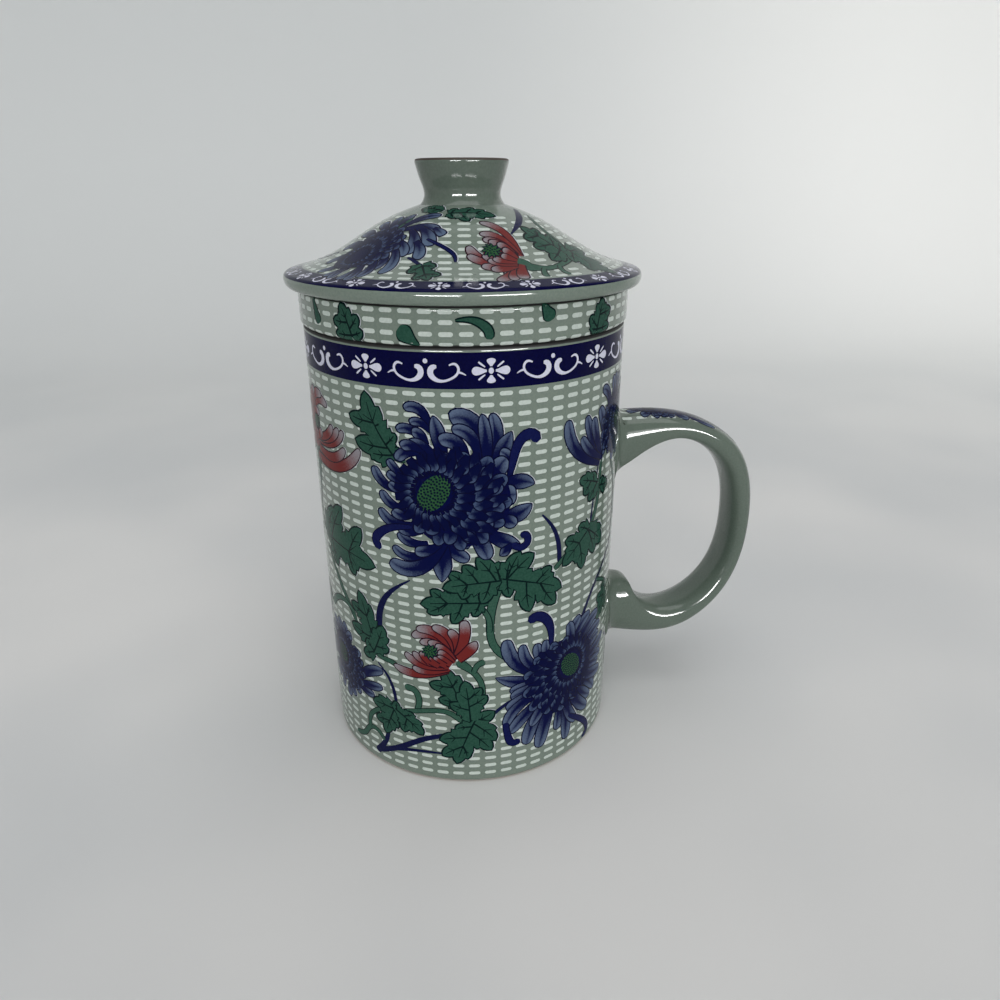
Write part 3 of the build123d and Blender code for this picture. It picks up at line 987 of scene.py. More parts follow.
# wall, as (across, height), with 0 across at the middle of the front
bigBlossom = {
    "centre": (-2.4, 80.6), "eye": (-7.8, 82.4), "eyeSize": (3.2, 5.0), "size": 1.0, "lean": -35,
    "dots": 96, "mass": (12.0, 11.4), "facing": -75,
    "drawn": [
        ((-8.0, 96.9), (-13.6, 101.6), 2.1, 120, 2.6), ((-8.0, 96.7), (-12.4, 98.5), 1.7, 90, 2.6),
        ((-9.4, 94.4), (-15.6, 96.6), 2.0, 90, 2.6), ((-8.8, 93.7), (-12.1, 96.5), 2.2, 70, 2.4),
        ((-7.0, 91.0), (-13.0, 93.6), 2.6, 60, 2.4), ((-4.9, 88.4), (-7.3, 100.2), 3.1, 5, 1.6),
        ((2.7, 90.5), (-3.6, 99.8), 4.0, 120, 3.0), ((2.3, 89.4), (-3.2, 97.4), 2.6, 100, 2.6),
        ((-0.2, 89.1), (-6.1, 94.7), 3.1, 110, 2.8), ((4.2, 86.8), (3.2, 100.6), 2.7, 15, 1.8),
        ((5.3, 88.5), (5.2, 100.6), 2.3, 50, 2.4), ((5.3, 86.6), (9.7, 96.3), 3.6, -10, 1.35),
        ((9.3, 85.9), (7.2, 92.1), 2.4, 80, 2.6), ((3.5, 82.3), (8.5, 90.4), 4.0, -20, 2.2),
        ((5.5, 83.7), (15.2, 83.5), 3.4, -45, 1.45), ((3.3, 81.4), (10.8, 81.6), 4.8, 0, 2.6),
        ((4.8, 75.6), (14.6, 78.6), 3.8, 40, 1.45), ((2.1, 74.0), (11.9, 68.7), 3.4, 20, 1.5),
        ((9.9, 69.4), (7.1, 66.7), 2.2, -20, 1.3), ((-1.1, 75.0), (4.2, 66.0), 3.6, -30, 2.2),
        ((-2.0, 75.0), (-0.5, 69.0), 2.2, 0, 1.7), ((-6.7, 71.6), (-0.2, 66.1), 2.9, 30, 2.3),
        ((-5.9, 72.2), (-6.6, 60.2), 4.2, 0, 1.35), ((-5.4, 70.4), (-19.3, 64.0), 3.7, -100, 2.8),
        ((-9.0, 68.0), (-18.1, 68.1), 2.2, -95, 2.6), ((-9.5, 70.0), (-16.5, 71.8), 2.2, -80, 2.6),
        ((-6.5, 69.9), (-12.7, 67.6), 2.6, -40, 2.6), ((-11.8, 74.6), (-21.2, 77.1), 2.5, -90, 2.6),
        ((-13.4, 77.8), (-20.5, 81.6), 2.2, -75, 2.6), ((-15.0, 81.9), (-22.2, 87.2), 2.3, -70, 2.8),
        ((-10.4, 91.6), (-15.9, 89.6), 2.4, 85, 2.6), ((-10.0, 92.0), (-14.8, 92.8), 2.3, 75, 2.6),
        ((-14.0, 85.3), (-18.3, 89.4), 1.9, -20, 2.6), ((-14.1, 83.9), (-18.6, 86.4), 1.9, -20, 2.6),
        ((-13.8, 81.5), (-18.4, 83.8), 2.0, -20, 2.6), ((-10.7, 72.8), (-16.5, 73.4), 2.4, -50, 2.4),
        ((-12.6, 76.7), (-17.8, 77.2), 2.4, -60, 2.6), ((6.0, 76.5), (10.8, 74.0), 3.0, -20, 2.0)],
    "hooks": [
        ([(9.6, 86.9), (10.6, 91.8), (12.0, 94.5), (14.0, 95.4), (15.5, 94.4), (15.2, 93.3)],
         [1.0, 1.7, 2.0, 2.4, 2.3]),
        ([(-13.3, 73.6), (-18.0, 72.9), (-21.6, 71.0), (-23.3, 68.4), (-22.0, 66.5)],
         [0.9, 1.3, 1.7, 2.1, 1.8]),
        ([(10.0, 69.2), (12.4, 68.1), (13.8, 69.4), (13.1, 71.2), (12.0, 70.9)], [1.5, 1.5, 1.5, 1.4])]}
lowBlossom = {
    "centre": (24.6, 28.0), "eye": (28.0, 29.8), "eyeSize": (3.0, 4.0), "size": 0.95, "lean": 40,
    "dots": 90, "mass": (10.2, 10.8), "facing": 120,
    "fan": [
        (299, 17.5, 3.4, -20, 2.2), (315, 18.5, 3.4, 25, 2.2), (330, 18.5, 3.4, 20, 2.2),
        (345, 18.5, 3.4, -25, 2.2), (0, 18.5, 3.2, 20, 2.2), (16, 18.0, 3.2, -30, 2.2),
        (31, 18.0, 3.2, -40, 2.4), (45, 17.5, 3.0, -60, 2.4), (136, 22.0, 3.4, -80, 2.8),
        (132, 17.5, 2.6, -75, 2.6), (122, 14.5, 2.6, -60, 2.6), (112, 13.5, 2.4, -60, 2.6),
        (166, 19.2, 3.2, -25, 1.4), (180, 15.0, 3.0, 10, 2.2), (188, 14.9, 3.2, 20, 2.4),
        (199, 16.8, 3.6, 15, 2.4), (214, 19.5, 2.8, 75, 2.4), (221, 20.0, 3.2, 20, 2.4),
        (240, 20.8, 3.6, 40, 2.6), (234, 15.6, 3.0, 10, 2.0), (252, 21.5, 3.8, 15, 2.6),
        (266, 17.0, 3.2, -30, 2.4), (276, 22.0, 3.4, -20, 2.4), (290, 19.0, 3.0, 40, 2.4),
        (306, 20.0, 3.4, 35, 2.4), (322, 19.5, 3.0, -30, 2.4), (338, 21.0, 3.4, 20, 2.4),
        (352, 19.5, 3.0, -30, 2.4), (8, 21.0, 3.4, 25, 2.4), (24, 19.5, 3.0, -40, 2.4),
        (38, 20.0, 3.2, -60, 2.6), (52, 18.0, 3.0, -70, 2.6), (66, 16.5, 3.2, -60, 2.6),
        (82, 15.0, 3.0, 60, 2.6)],
    "hooks": [
        ([(21.0, 38.5), (20.8, 43.2), (19.0, 47.0), (16.2, 48.3), (14.4, 47.2)], [1.0, 1.6, 2.1, 2.4, 2.3]),
        ([(8.4, 18.4), (9.0, 14.0), (10.2, 11.6), (12.4, 11.8)], [1.4, 1.5, 1.8, 1.6]),
        ([(28.0, 13.5), (33.5, 9.0), (36.4, 5.6), (37.0, 3.2), (34.6, 1.9)], [1.0, 1.4, 1.6, 1.2])]}
sideBlossom = {
    "centre": (-39.0, 27.0), "eye": (-42.0, 28.5), "eyeSize": (2.4, 3.6), "size": 0.66, "lean": 0,
    "dots": 90, "mass": (6.6, 7.6), "facing": -90,
    "drawn": [
        ((-35.0, 24.0), (-24.2, 30.9), 2.9, -35, 2.2), ((-35.2, 23.4), (-24.8, 25.7), 2.4, 10, 2.2),
        ((-35.4, 22.8), (-28.0, 22.0), 2.2, 25, 2.2), ((-37.5, 29.5), (-33.2, 29.2), 2.2, -110, 2.6),
        ((-37.0, 28.0), (-32.6, 32.0), 2.6, -120, 2.6), ((-40.0, 31.0), (-36.0, 36.6), 2.6, -60, 2.6)],
    "fan": [
        (95, 12.0, 2.6, 50, 2.4), (112, 12.5, 2.4, 60, 2.4), (130, 13.5, 2.4, 50, 2.4),
        (150, 13.5, 2.6, 40, 2.4), (170, 14.0, 2.6, -30, 2.4), (190, 13.5, 2.4, 30, 2.4),
        (208, 13.5, 2.6, -40, 2.4), (226, 12.5, 2.4, 40, 2.4), (244, 12.0, 2.4, 30, 2.4),
        (262, 11.5, 2.6, -40, 2.4), (285, 10.0, 2.2, 40, 2.4), (306, 9.0, 2.2, 30, 2.4)]}
cupBlossom = {
    "centre": (44.5, 91.5), "eye": (48.0, 92.5), "eyeSize": (2.4, 3.0), "size": 0.62, "lean": 0, "dots": 90,
    "mass": (6.8, 7.0), "facing": 60,
    "drawn": [
        ((36.8, 83.4), (24.4, 96.8), 3.0, -75, 2.6), ((37.0, 84.6), (30.6, 96.6), 2.6, -25, 2.4),
        ((37.6, 85.0), (33.4, 95.6), 2.6, -20, 2.4), ((38.4, 84.4), (29.0, 91.8), 2.4, -40, 2.6),
        ((40.0, 86.0), (36.0, 97.5), 3.0, 20, 2.4), ((41.5, 94.0), (36.9, 101.6), 2.4, 90, 2.6),
        ((42.5, 94.0), (42.8, 103.4), 2.6, 60, 2.6)],
    "fan": [
        (200, 9.0, 2.6, -30, 2.2), (222, 9.5, 2.6, 30, 2.2), (84, 12.5, 2.4, -30, 2.4),
        (66, 12.5, 2.6, -50, 2.4), (46, 13.0, 2.4, 30, 2.4), (28, 12.5, 2.6, -40, 2.4),
        (8, 13.0, 2.4, 30, 2.4), (-12, 12.0, 2.6, 40, 2.4), (-34, 11.5, 2.4, -30, 2.4),
        (-60, 10.0, 2.4, 30, 2.4), (-85, 9.5, 2.4, 30, 2.4)]}
redFlower = {
    "eye": (-10.3, 40.5), "size": 1.0, "heart": (-6.4, 38.6, 2.6, 1.6),
    "petals": [
        ((-4.2, 39.2), (-14.6, 44.0), 2.3, 110, 2.4), ((-4.0, 39.6), (-13.4, 46.2), 2.3, 95, 2.4),
        ((-3.6, 40.0), (-9.4, 47.4), 2.2, 80, 2.4), ((-3.4, 40.0), (-5.4, 46.8), 2.1, 60, 2.4),
        ((-3.6, 39.4), (-1.8, 49.6), 2.4, 40, 2.8), ((-3.4, 38.6), (1.1, 43.7), 2.6, 25, 1.6),
        ((-6.0, 35.4), (-20.3, 34.4), 2.1, -50, 2.2), ((-5.6, 35.9), (-15.0, 35.0), 1.9, -40, 2.4),
        ((-6.0, 36.4), (-16.8, 38.9), 1.9, -65, 2.4), ((-6.6, 36.9), (-14.6, 39.6), 1.8, -60, 2.4),
        ((-4.6, 38.6), (-12.6, 42.6), 2.0, 85, 2.4), ((-4.4, 38.4), (-10.6, 42.9), 2.0, 65, 2.4),
        ((-4.4, 38.2), (-8.8, 42.2), 2.0, 50, 2.4), ((-4.6, 37.6), (-8.2, 40.6), 1.9, 25, 2.4),
        ((-5.0, 37.0), (-8.5, 39.0), 1.9, 10, 2.4), ((-6.4, 36.6), (-9.7, 38.6), 1.8, -10, 2.4),
        ((-8.2, 36.4), (-11.2, 38.6), 1.7, -25, 2.4), ((-10.6, 37.0), (-12.4, 40.0), 1.5, -40, 2.4)]}
leftRedFlower = {
    "eye": (-45.5, 93.0), "size": 1.0, "heart": (-47.4, 89.6, 3.4, 3.6),
    "petals": [
        ((-47.0, 84.2), (-26.4, 90.4), 2.5, 70, 2.4), ((-45.0, 86.6), (-31.6, 89.4), 2.2, 70, 2.4),
        ((-44.6, 88.6), (-31.8, 93.6), 2.1, 60, 2.4), ((-44.2, 89.2), (-33.6, 93.8), 2.0, 50, 2.4),
        ((-44.0, 89.4), (-36.2, 94.0), 2.0, 50, 2.4), ((-49.0, 93.0), (-38.0, 98.2), 2.2, -100, 2.4),
        ((-49.6, 94.0), (-40.6, 100.2), 2.2, -90, 2.4), ((-50.0, 94.5), (-45.6, 101.0), 2.2, -60, 2.4),
        ((-50.0, 94.0), (-51.5, 100.0), 2.2, 30, 2.4), ((-49.4, 91.0), (-56.0, 96.0), 2.2, 40, 2.4),
        ((-49.4, 89.5), (-57.0, 89.8), 2.4, 30, 2.4), ((-49.0, 88.5), (-55.0, 84.6), 2.2, -40, 2.4),
        ((-49.6, 92.6), (-43.0, 95.4), 2.0, -70, 2.4), ((-47.0, 88.6), (-42.4, 91.4), 2.0, 30, 2.4),
        ((-48.6, 89.0), (-46.0, 91.2), 1.9, 10, 2.4)]}
wallLeaves = [
    [leaf((-16.4, 89.8), (-23.5, 104.3), [(-28.6, 98.4), (-27.2, 92.8), (-23.2, 90.4, 0.6), (-19.9, 97.6),
          (-16.3, 95.6), (-15.6, 92.4)], -35)],
    [leaf((-47.0, 63.0), (-24.2, 61.0), [(-39.5, 71.8), (-35.2, 73.6), (-28.0, 70.0), (-31.5, 56.5),
          (-39.5, 56.0)], -10, 0.5)],
    [leaf((-25.8, 36.0), (-30.8, 52.3), [(-34.2, 48.0), (-34.8, 41.5), (-27.2, 49.5),
          (-27.0, 43.0)], 8, 0.46),
     leaf((-27.0, 35.5), (-23.2, 44.6), [(-30.5, 34.4), (-29.0, 39.0), (-21.8, 38.5)], 10, 0.7)],
    [leaf((-21.0, 20.8), (-24.5, 11.4), [(-28.4, 20.0), (-27.6, 15.0), (-20.5, 14.5)], 10, 0.58),
     leaf((-21.0, 20.5), (-13.2, 14.4), [(-20.5, 22.8), (-15.5, 20.0), (-18.5, 14.0)], -20, 0.6)],
    [leaf((4.2, 54.4), (-12.0, 53.6), [(-9.4, 57.6), (-10.4, 51.6), (-4.4, 49.0), (0.6, 51.0),
          (-2.6, 57.6)], 12, 0.5),
     leaf((8.0, 60.0), (-6.4, 58.4), [(-5.0, 62.4), (-1.6, 64.4), (1.6, 66.4), (5.6, 64.6), (-2.0, 55.8),
          (2.6, 54.4)], 14, 0.52),
     leaf((7.6, 60.4), (23.6, 54.4), [(9.6, 65.0), (12.0, 66.8), (15.4, 65.8), (20.4, 61.0), (21.8, 50.6),
          (14.6, 50.4), (9.4, 55.4)], -14, 0.52)],
    [leaf((33.5, 67.5), (24.0, 60.2), [(24.6, 66.6), (29.0, 69.0), (30.8, 57.2), (36.0, 59.6),
          (39.8, 61.2)], 8, 0.58)],
    [leaf((36.4, 78.6), (28.8, 81.2), [(30.4, 77.2), (32.4, 75.0), (34.0, 81.8)], 10, 0.62),
     leaf((37.4, 77.4), (42.4, 76.6), [(39.6, 79.0), (40.4, 74.8)], 0, 0.62)],
    [leaf((-2.0, 22.5), (-7.2, 36.0), [(-10.6, 31.0), (-8.4, 26.6), (-3.4, 33.2),
          (-3.0, 28.6)], 8, 0.52),
     leaf((-0.5, 18.5), (-1.8, 32.2), [(-5.6, 25.4), (3.6, 27.6), (5.4, 22.6), (2.2, 30.0)], 6, 0.54),
     leaf((0.5, 20.0), (-4.4, 6.4), [(-8.6, 13.6), (-8.0, 8.6), (-1.6, 8.0), (5.8, 13.4), (4.6, 10.4),
          (-4.5, 17.5)], 8, 0.54)],
    [leaf((46.5, 45.5), (40.0, 37.4), [(39.4, 44.0), (42.4, 46.4), (46.6, 38.4)], 8, 0.58)],
    [leaf((52.0, 66.0), (60.5, 74.5), [(50.5, 72.0), (55.5, 75.5), (60.5, 67.5),
          (56.5, 64.5)], 10, 0.58)],
    [leaf((54.5, 22.0), (61.5, 13.0), [(54.0, 15.0), (57.0, 12.0), (62.5, 19.5),
          (59.5, 22.5)], 10, 0.58)],
    [leaf((-50.0, 44.0), (-58.0, 36.5), [(-57.0, 43.5), (-53.5, 45.5), (-52.0, 36.5)], -8, 0.58)]]
wallStems = [
    ([(-17.0, 90.0), (-15.4, 89.6), (-14.0, 89.5)], [0.7, 0.6], "stem_green"),
    ([(-26.5, 36.2), (-23.5, 35.2), (-20.8, 34.8), (-18.0, 32.4)], [1.1, 1.1, 1.3, 0.9], "stem_green"),
    ([(-25.6, 33.2), (-22.6, 30.0), (-21.0, 26.0), (-20.4, 21.4)], [0.5, 0.9, 1.1, 1.0], "branches"),
    ([(-14.5, 59.6), (-19.6, 55.8), (-23.4, 50.0), (-24.4, 43.6)], [0.3, 1.2, 1.9, 2.1], "branches"),
    ([(-17.6, 28.4), (-15.2, 28.2), (-13.8, 25.4), (-14.6, 21.6)], [1.8, 1.5, 1.4, 1.2], "stem_green"),
    ([(-18.6, 20.6), (-12.4, 22.2), (-6.0, 22.4), (-2.4, 19.6)], [1.1, 1.1, 1.2, 1.4], "stem_green"),
    ([(-28.4, 3.4), (-26.4, 6.0), (-24.4, 9.6), (-23.6, 12.6)], [2.2, 1.7, 1.5, 1.2], "branches"),
    ([(-27.8, 4.0), (-20.0, 8.4), (-13.0, 13.0), (-6.0, 15.6)], [1.6, 1.7, 1.6, 1.3], "branches"),
    ([(-25.8, 5.6), (-18.0, 8.2), (-10.0, 9.2), (-7.0, 9.2)], [1.2, 1.1, 0.9, 0.5], "branches"),
    ([(-37.4, 5.2), (-33.0, 7.2), (-30.2, 10.6), (-27.0, 10.4), (-25.4, 8.4)],
     [1.2, 1.3, 1.2, 1.0], "stem_green"),
    ([(-30.6, 10.4), (-30.2, 14.0), (-27.4, 17.4), (-24.0, 19.4)], [1.1, 1.1, 1.0], "stem_green"),
    ([(7.2, 60.0), (5.4, 54.6), (4.6, 48.4), (5.2, 42.8), (8.2, 38.8), (12.5, 36.2)],
     [2.4, 2.0, 1.6, 1.7, 1.6], "stem_green"),
    ([(2.2, 53.6), (4.2, 50.0), (4.4, 46.0)], [1.0, 1.2], "stem_green"),
    ([(2.0, 69.0), (5.0, 64.6), (9.0, 61.2), (12.0, 59.4)], [0.8, 1.1, 1.2], "branches"),
    ([(17.5, 75.3), (20.6, 71.4), (22.4, 66.6), (22.8, 61.4)], [0.5, 1.0, 1.4, 1.4], "branches"),
    ([(-3.6, 38.0), (-0.4, 35.6), (2.2, 31.6), (2.4, 25.6)], [2.4, 1.3, 1.2, 1.1], "stem_green"),
    ([(0.4, 34.6), (1.4, 36.8), (3.2, 37.8)], [1.1, 1.2, 1.5], "stem_green"),
    ([(37.8, 84.0), (37.2, 78.0), (36.2, 72.0), (33.6, 67.6)], [1.0, 1.1, 1.2], "stem_green"),
    ([(36.6, 84.6), (35.2, 78.0), (34.4, 73.0), (33.8, 69.0)], [0.5, 0.7, 0.8], "branches"),
    ([(50.0, 60.0), (45.0, 55.6), (39.6, 51.6), (34.6, 46.4), (31.4, 41.2)],
     [0.6, 1.0, 1.3, 1.4], "branches"),
    ([(2.0, 18.8), (5.6, 22.0), (9.6, 24.8), (14.0, 25.6)], [1.1, 1.0, 1.0, 0.8], "branches"),
    ([(-46.0, 60.0), (-40.0, 52.0), (-35.4, 46.4), (-32.6, 42.4)], [0.8, 1.2, 1.3], "stem_green"),
    ([(-46.6, 41.6), (-43.0, 45.2), (-37.0, 46.6), (-33.0, 44.6)], [2.0, 1.5, 1.2, 1.0], "stem_green"),
    ([(21.4, 60.0), (24.6, 62.6), (27.0, 64.0)], [1.1, 1.0], "stem_green"),
    ([(47.0, 45.6), (43.0, 48.5), (38.6, 50.6)], [0.8, 0.8], "stem_green"),
    ([(44.5, 82.0), (49.0, 74.0), (50.5, 66.5), (48.5, 60.5)], [0.8, 1.1, 1.2, 0.8], "stem_green"),
    ([(47.0, 29.0), (52.0, 26.0), (56.0, 19.5)], [0.8, 1.0, 0.8], "branches"),
    ([(-51.0, 63.5), (-56.5, 58.0), (-58.5, 50.0)], [1.0, 1.0, 0.5], "stem_green"),
    ([(-46.6, 88.0), (-47.0, 84.0), (-48.6, 74.0), (-50.4, 68.0), (-47.6, 63.0)],
     [4.4, 2.6, 1.1, 1.2, 1.0], "stem_green"),
    ([(-47.5, 42.0), (-50.5, 45.0), (-50.0, 44.0)], [0.8, 0.8], "stem_green")]


# lid, seen from above with the front towards -y
lidBlossom = {
    "centre": (-17.8, -20.8), "eye": (-21.4, -21.6), "eyeSize": (1.1, 0.9), "size": 0.58, "lean": 0,
    "mass": (6.6, 6.0), "facing": -30, "dots": 0,
    "pale": [
        ((-7.4, -19.4), (-5.2, -25.8), 2.9, -40, 2.6), ((-9.6, -19.4), (-10.0, -27.0), 2.7, -70, 2.4),
        ((-8.2, -23.6), (-7.5, -29.4), 2.4, -60, 2.4), ((-12.0, -22.0), (-10.8, -27.6), 2.2, -50, 2.4),
        ((-13.0, -23.0), (-14.9, -32.8), 2.3, -75, 2.4), ((-4.6, -20.2), (-2.3, -22.9), 1.9, -10, 2.8)],
    "drawn": [
        ((-12.4, -17.4), (-3.6, -15.4), 2.2, -50, 2.2), ((-12.0, -18.2), (-3.6, -21.4), 2.7, -35, 2.6),
        ((-13.6, -16.4), (-9.6, -12.6), 1.6, -50, 2.2), ((-14.6, -24.0), (-17.0, -30.0), 2.2, -80, 2.2),
        ((-16.8, -25.0), (-19.6, -33.0), 2.2, -60, 2.4), ((-18.6, -25.4), (-24.0, -32.4), 2.2, -50, 2.4),
        ((-20.4, -24.4), (-27.8, -28.2), 2.2, -40, 2.4), ((-21.6, -22.4), (-30.0, -23.6), 2.2, -30, 2.4),
        ((-21.8, -20.0), (-29.6, -17.6), 2.2, 30, 2.4), ((-20.6, -18.0), (-26.6, -12.0), 2.2, 40, 2.4),
        ((-18.8, -16.6), (-22.4, -9.4), 2.2, 30, 2.4), ((-16.6, -16.0), (-17.6, -9.8), 2.2, 30, 2.4),
        ((-15.0, -16.2), (-13.0, -11.0), 2.0, -30, 2.4), ((-19.6, -24.6), (-22.0, -34.0), 1.9, -40, 2.4),
        ((-21.0, -23.6), (-26.0, -31.0), 1.9, 30, 2.4)],
    "hooks": [
        ([(-5.8, -23.6), (-4.4, -24.7), (-1.3, -27.1), (0.7, -29.4), (1.0, -31.2)],
         [0.3, 0.5, 0.6, 0.6, 0.3])]}
lidRedFlower = {
    "eye": (8.3, -26.6), "size": 1.05, "heart": (10.2, -27.6, 3.6, 2.3), "neck": 0.5,
    "petals": [
        ((14.6, -26.0), (5.3, -18.2), 1.8, 78, 2.4), ((14.4, -26.0), (5.6, -22.2), 1.8, 78, 2.4),
        ((13.6, -30.0), (11.8, -34.6), 2.2, -20, 2.2), ((14.0, -29.4), (10.2, -37.6), 2.3, -40, 2.2),
        ((14.4, -29.4), (13.4, -36.6), 2.2, 20, 2.2), ((14.8, -29.0), (15.6, -35.2), 2.4, 20, 2.4),
        ((13.2, -30.2), (3.4, -26.2), 2.2, -85, 2.4), ((13.4, -30.0), (3.5, -28.8), 2.0, -60, 2.4),
        ((13.6, -30.4), (6.6, -31.8), 2.2, -40, 2.4), ((13.8, -30.0), (8.6, -32.6), 2.2, -40, 2.4),
        ((13.6, -26.0), (6.4, -23.9), 1.9, 65, 2.4), ((13.6, -26.4), (7.6, -24.2), 1.9, 60, 2.4),
        ((13.6, -26.8), (9.4, -24.2), 1.9, 50, 2.4), ((13.8, -27.2), (10.6, -25.4), 1.8, 30, 2.4),
        ((13.8, -29.0), (6.6, -28.4), 1.8, -50, 2.4), ((13.8, -29.4), (7.8, -29.6), 1.8, -40, 2.4),
        ((13.8, -28.6), (8.8, -28.9), 1.7, -30, 2.4), ((13.8, -28.0), (10.4, -27.4), 1.7, 0, 2.4)]}
lidLeaves = [
    [leaf((-5.9, -31.7), (-4.0, -38.2), [(-8.5, -34.4), (-6.9, -37.6), (-1.8, -36.0),
          (-3.1, -32.6)], 8, 0.46)],
    [leaf((-2.0, -14.6), (8.4, -13.8), [(-0.3, -12.4), (3.2, -11.6), (5.4, -12.4), (2.8, -17.8),
          (-0.6, -16.8)], 0, 0.5)],
    [leaf((23.6, -17.4), (14.2, -15.4), [(17.2, -13.2), (20.4, -12.8), (22.6, -13.6), (21.2, -23.4),
          (17.4, -21.0), (15.2, -19.2)], 8, 0.5)],
    [leaf((24.8, -14.8), (35.6, -19.4), [(28.4, -10.2), (32.4, -13.2), (30.4, -22.0),
          (26.4, -20.0)], 8, 0.52)],
    [leaf((-9.6, -16.4), (-15.6, -14.6), [(-12.4, -12.4), (-14.6, -17.4)], 8, 0.7)],
    [leaf((-3.2, -13.0), (-8.2, -9.2), [(-5.4, -9.6), (-6.4, -12.8)], 0, 0.7)]]
lidStems = [
    ([(12.6, -4.0), (13.8, -10.3), (13.4, -15.5), (12.2, -19.6)], [0.9, 1.6, 1.4, 0.3], "branches"),
    ([(13.4, -27.4), (16.0, -29.2), (18.4, -28.8), (21.2, -27.0), (23.7, -23.1), (25.3, -18.2),
     (24.0, -14.4), (18.7, -10.7), (15.6, -5.6)],
     [4.8, 2.5, 1.2, 1.1, 1.1, 1.0, 0.9, 0.8, 0.6], "stem_green"),
    ([(19.5, -28.2), (19.5, -30.2), (20.2, -32.4)], [0.9, 1.0, 1.4], "stem_green"),
    ([(22.8, -25.0), (23.4, -27.0), (25.1, -28.3)], [0.9, 1.0, 1.2], "stem_green"),
    ([(-9.4, -28.4), (-7.6, -30.2), (-6.0, -32.0)], [0.6, 0.9, 0.8], "branches"),
    ([(-28.0, -12.0), (-33.0, -7.0), (-36.0, 0.0)], [0.8, 1.0, 0.6], "branches")]

# collar, as (across, height): drops and single leaves between the rows of dashes
collarLeaves = [
    leaf((-25.6, 115.9), (-28.6, 122.7), [(-31.0, 119.2), (-24.0, 120.6), (-30.4, 116.5),
         (-22.8, 117.4)], 8, 0.62),
    leaf((32.2, 115.9), (34.4, 122.7), [(30.0, 119.4), (37.6, 120.2), (30.2, 116.7),
         (37.0, 116.9)], -8, 0.62)]
collarDrops = [
    ([(-39.0, 123.0), (-38.2, 120.4), (-37.0, 117.6)], [0.3, 1.6, 2.6]),
    ([(-9.6, 115.2), (-10.8, 116.0), (-12.4, 117.4), (-14.0, 118.7)], [0.5, 1.8, 3.4, 3.6]),
    ([(-2.0, 120.5), (1.0, 120.6), (3.6, 119.6), (4.9, 118.0), (4.9, 116.6)], [0.1, 0.7, 1.3, 1.7, 1.6]),
    ([(16.9, 123.3), (17.4, 122.0), (18.2, 120.7), (18.7, 119.7)], [1.0, 1.6, 2.8, 3.0])]

# handle, as (length from the wall along its back, across)
handleBlossom = {
    "centre": (13.5, 0.8), "eye": (10.5, 1.4), "eyeSize": (1.4, 1.2), "size": 0.42, "mass": (8.6, 3.4),
    "dots": 24,
    "fan": [
        (-8, 20.0, 2.3, -30, 2.4), (6, 23.0, 2.2, 25, 2.2), (-17, 16.5, 2.2, 30, 2.4),
        (17, 16.0, 2.2, 30, 2.4), (-32, 8.8, 2.2, 40, 2.4), (38, 8.2, 2.2, -30, 2.4),
        (-58, 5.6, 2.2, 20, 2.4), (62, 5.6, 2.0, 20, 2.4), (-90, 5.0, 2.3, -20, 2.4),
        (90, 4.8, 2.0, 20, 2.4), (-118, 5.6, 2.2, -30, 2.4), (118, 5.4, 2.0, 20, 2.4),
        (-146, 7.4, 2.2, -30, 2.4), (142, 6.8, 2.0, 20, 2.4), (-166, 10.0, 2.2, 20, 2.4),
        (168, 9.6, 2.2, 20, 2.4)],
    "hooks": [([(32.0, -0.2), (35.0, -1.8), (38.0, -1.4), (39.0, 0.8)], [0.6, 1.4, 1.4, 0.9])]}
handleStems = [
    ([(24.0, 3.0), (30.0, 4.0), (35.0, 3.0), (40.0, 3.8)], [1.0, 1.1, 1.0, 0.5], "stem_green")]

# how far each layer of print lies off the glaze
lifts = {"ground": 0.012, "border": 0.026, "halo": 0.024, "stems": 0.038, "leaves": 0.050, "outer": 0.062,
         "middle": 0.076, "inner": 0.090, "eye": 0.104}
sheets = {}


def keepCut(part, layer, colour, cut):
    # cuts of one colour in one layer become one sheet
    sheets.setdefault((part, layer, colour), []).append(cut)


def nearestPlaces(spots, shape):
    # each corner's place in its petal: t along the spine and s across it in half widths
    spine = shape["spine"]
    way = unit(np.gradient(spine, axis=0))
    gap = spots[..., None, :] - spine
    near = (gap**2).sum(-1).argmin(-1)
    off = np.take_along_axis(gap, near[..., None, None], -2)[..., 0, :]
    step = along(spine)[-1] / (len(spine) - 1)
    t = (near + np.clip((off * way[near]).sum(-1) / step, -0.5, 0.5)) / (len(spine) - 1)
    s = (way[near][..., 0] * off[..., 1] - way[near][..., 1] * off[..., 0]) / shape["half"]
    return np.stack([t, np.clip(s, -1, 1)], -1)


def lay(part, layer, shapes, chart, spacing, shifts=((0.0, 0.0),)):
    # cuts a layer of shapes against each other and against lines spacing apart, wraps it on the chart once
    # for every shift, and keeps each colour's triangles for a piece of their own
    outlines = [s["outline"] for s in shapes]
    corners = np.concatenate(outlines)
    low, high = corners.min(0), corners.max(0)
    lines = [np.arange(low[k] + spacing[k] / 3, high[k], spacing[k]) if spacing[k] else [] for k in (0, 1)]
    points, faces, owner = cutFlat(outlines, *lines)
    faces, owner = faces[owner >= 0], owner[owner >= 0]
    colours = np.array([s["ink"] for s in shapes])[owner]
    places = np.zeros((len(faces), 3, 2))
    for k in np.unique(owner):
        if "spine" in shapes[k]:
            places[owner == k] = nearestPlaces(points[faces[owner == k]], shapes[k])
    for colour in sorted(set(colours)):
        used, local = np.unique(faces[colours == colour], return_inverse=True)
        for shift in shifts:
            flat = points[used] + shift
            spots, normals = chart.wrap(flat, lifts[layer])
            cut = patch(spots, normals, local.reshape(-1, 3), flat, places[colours == colour])
            keepCut(part, layer, colour, cut)


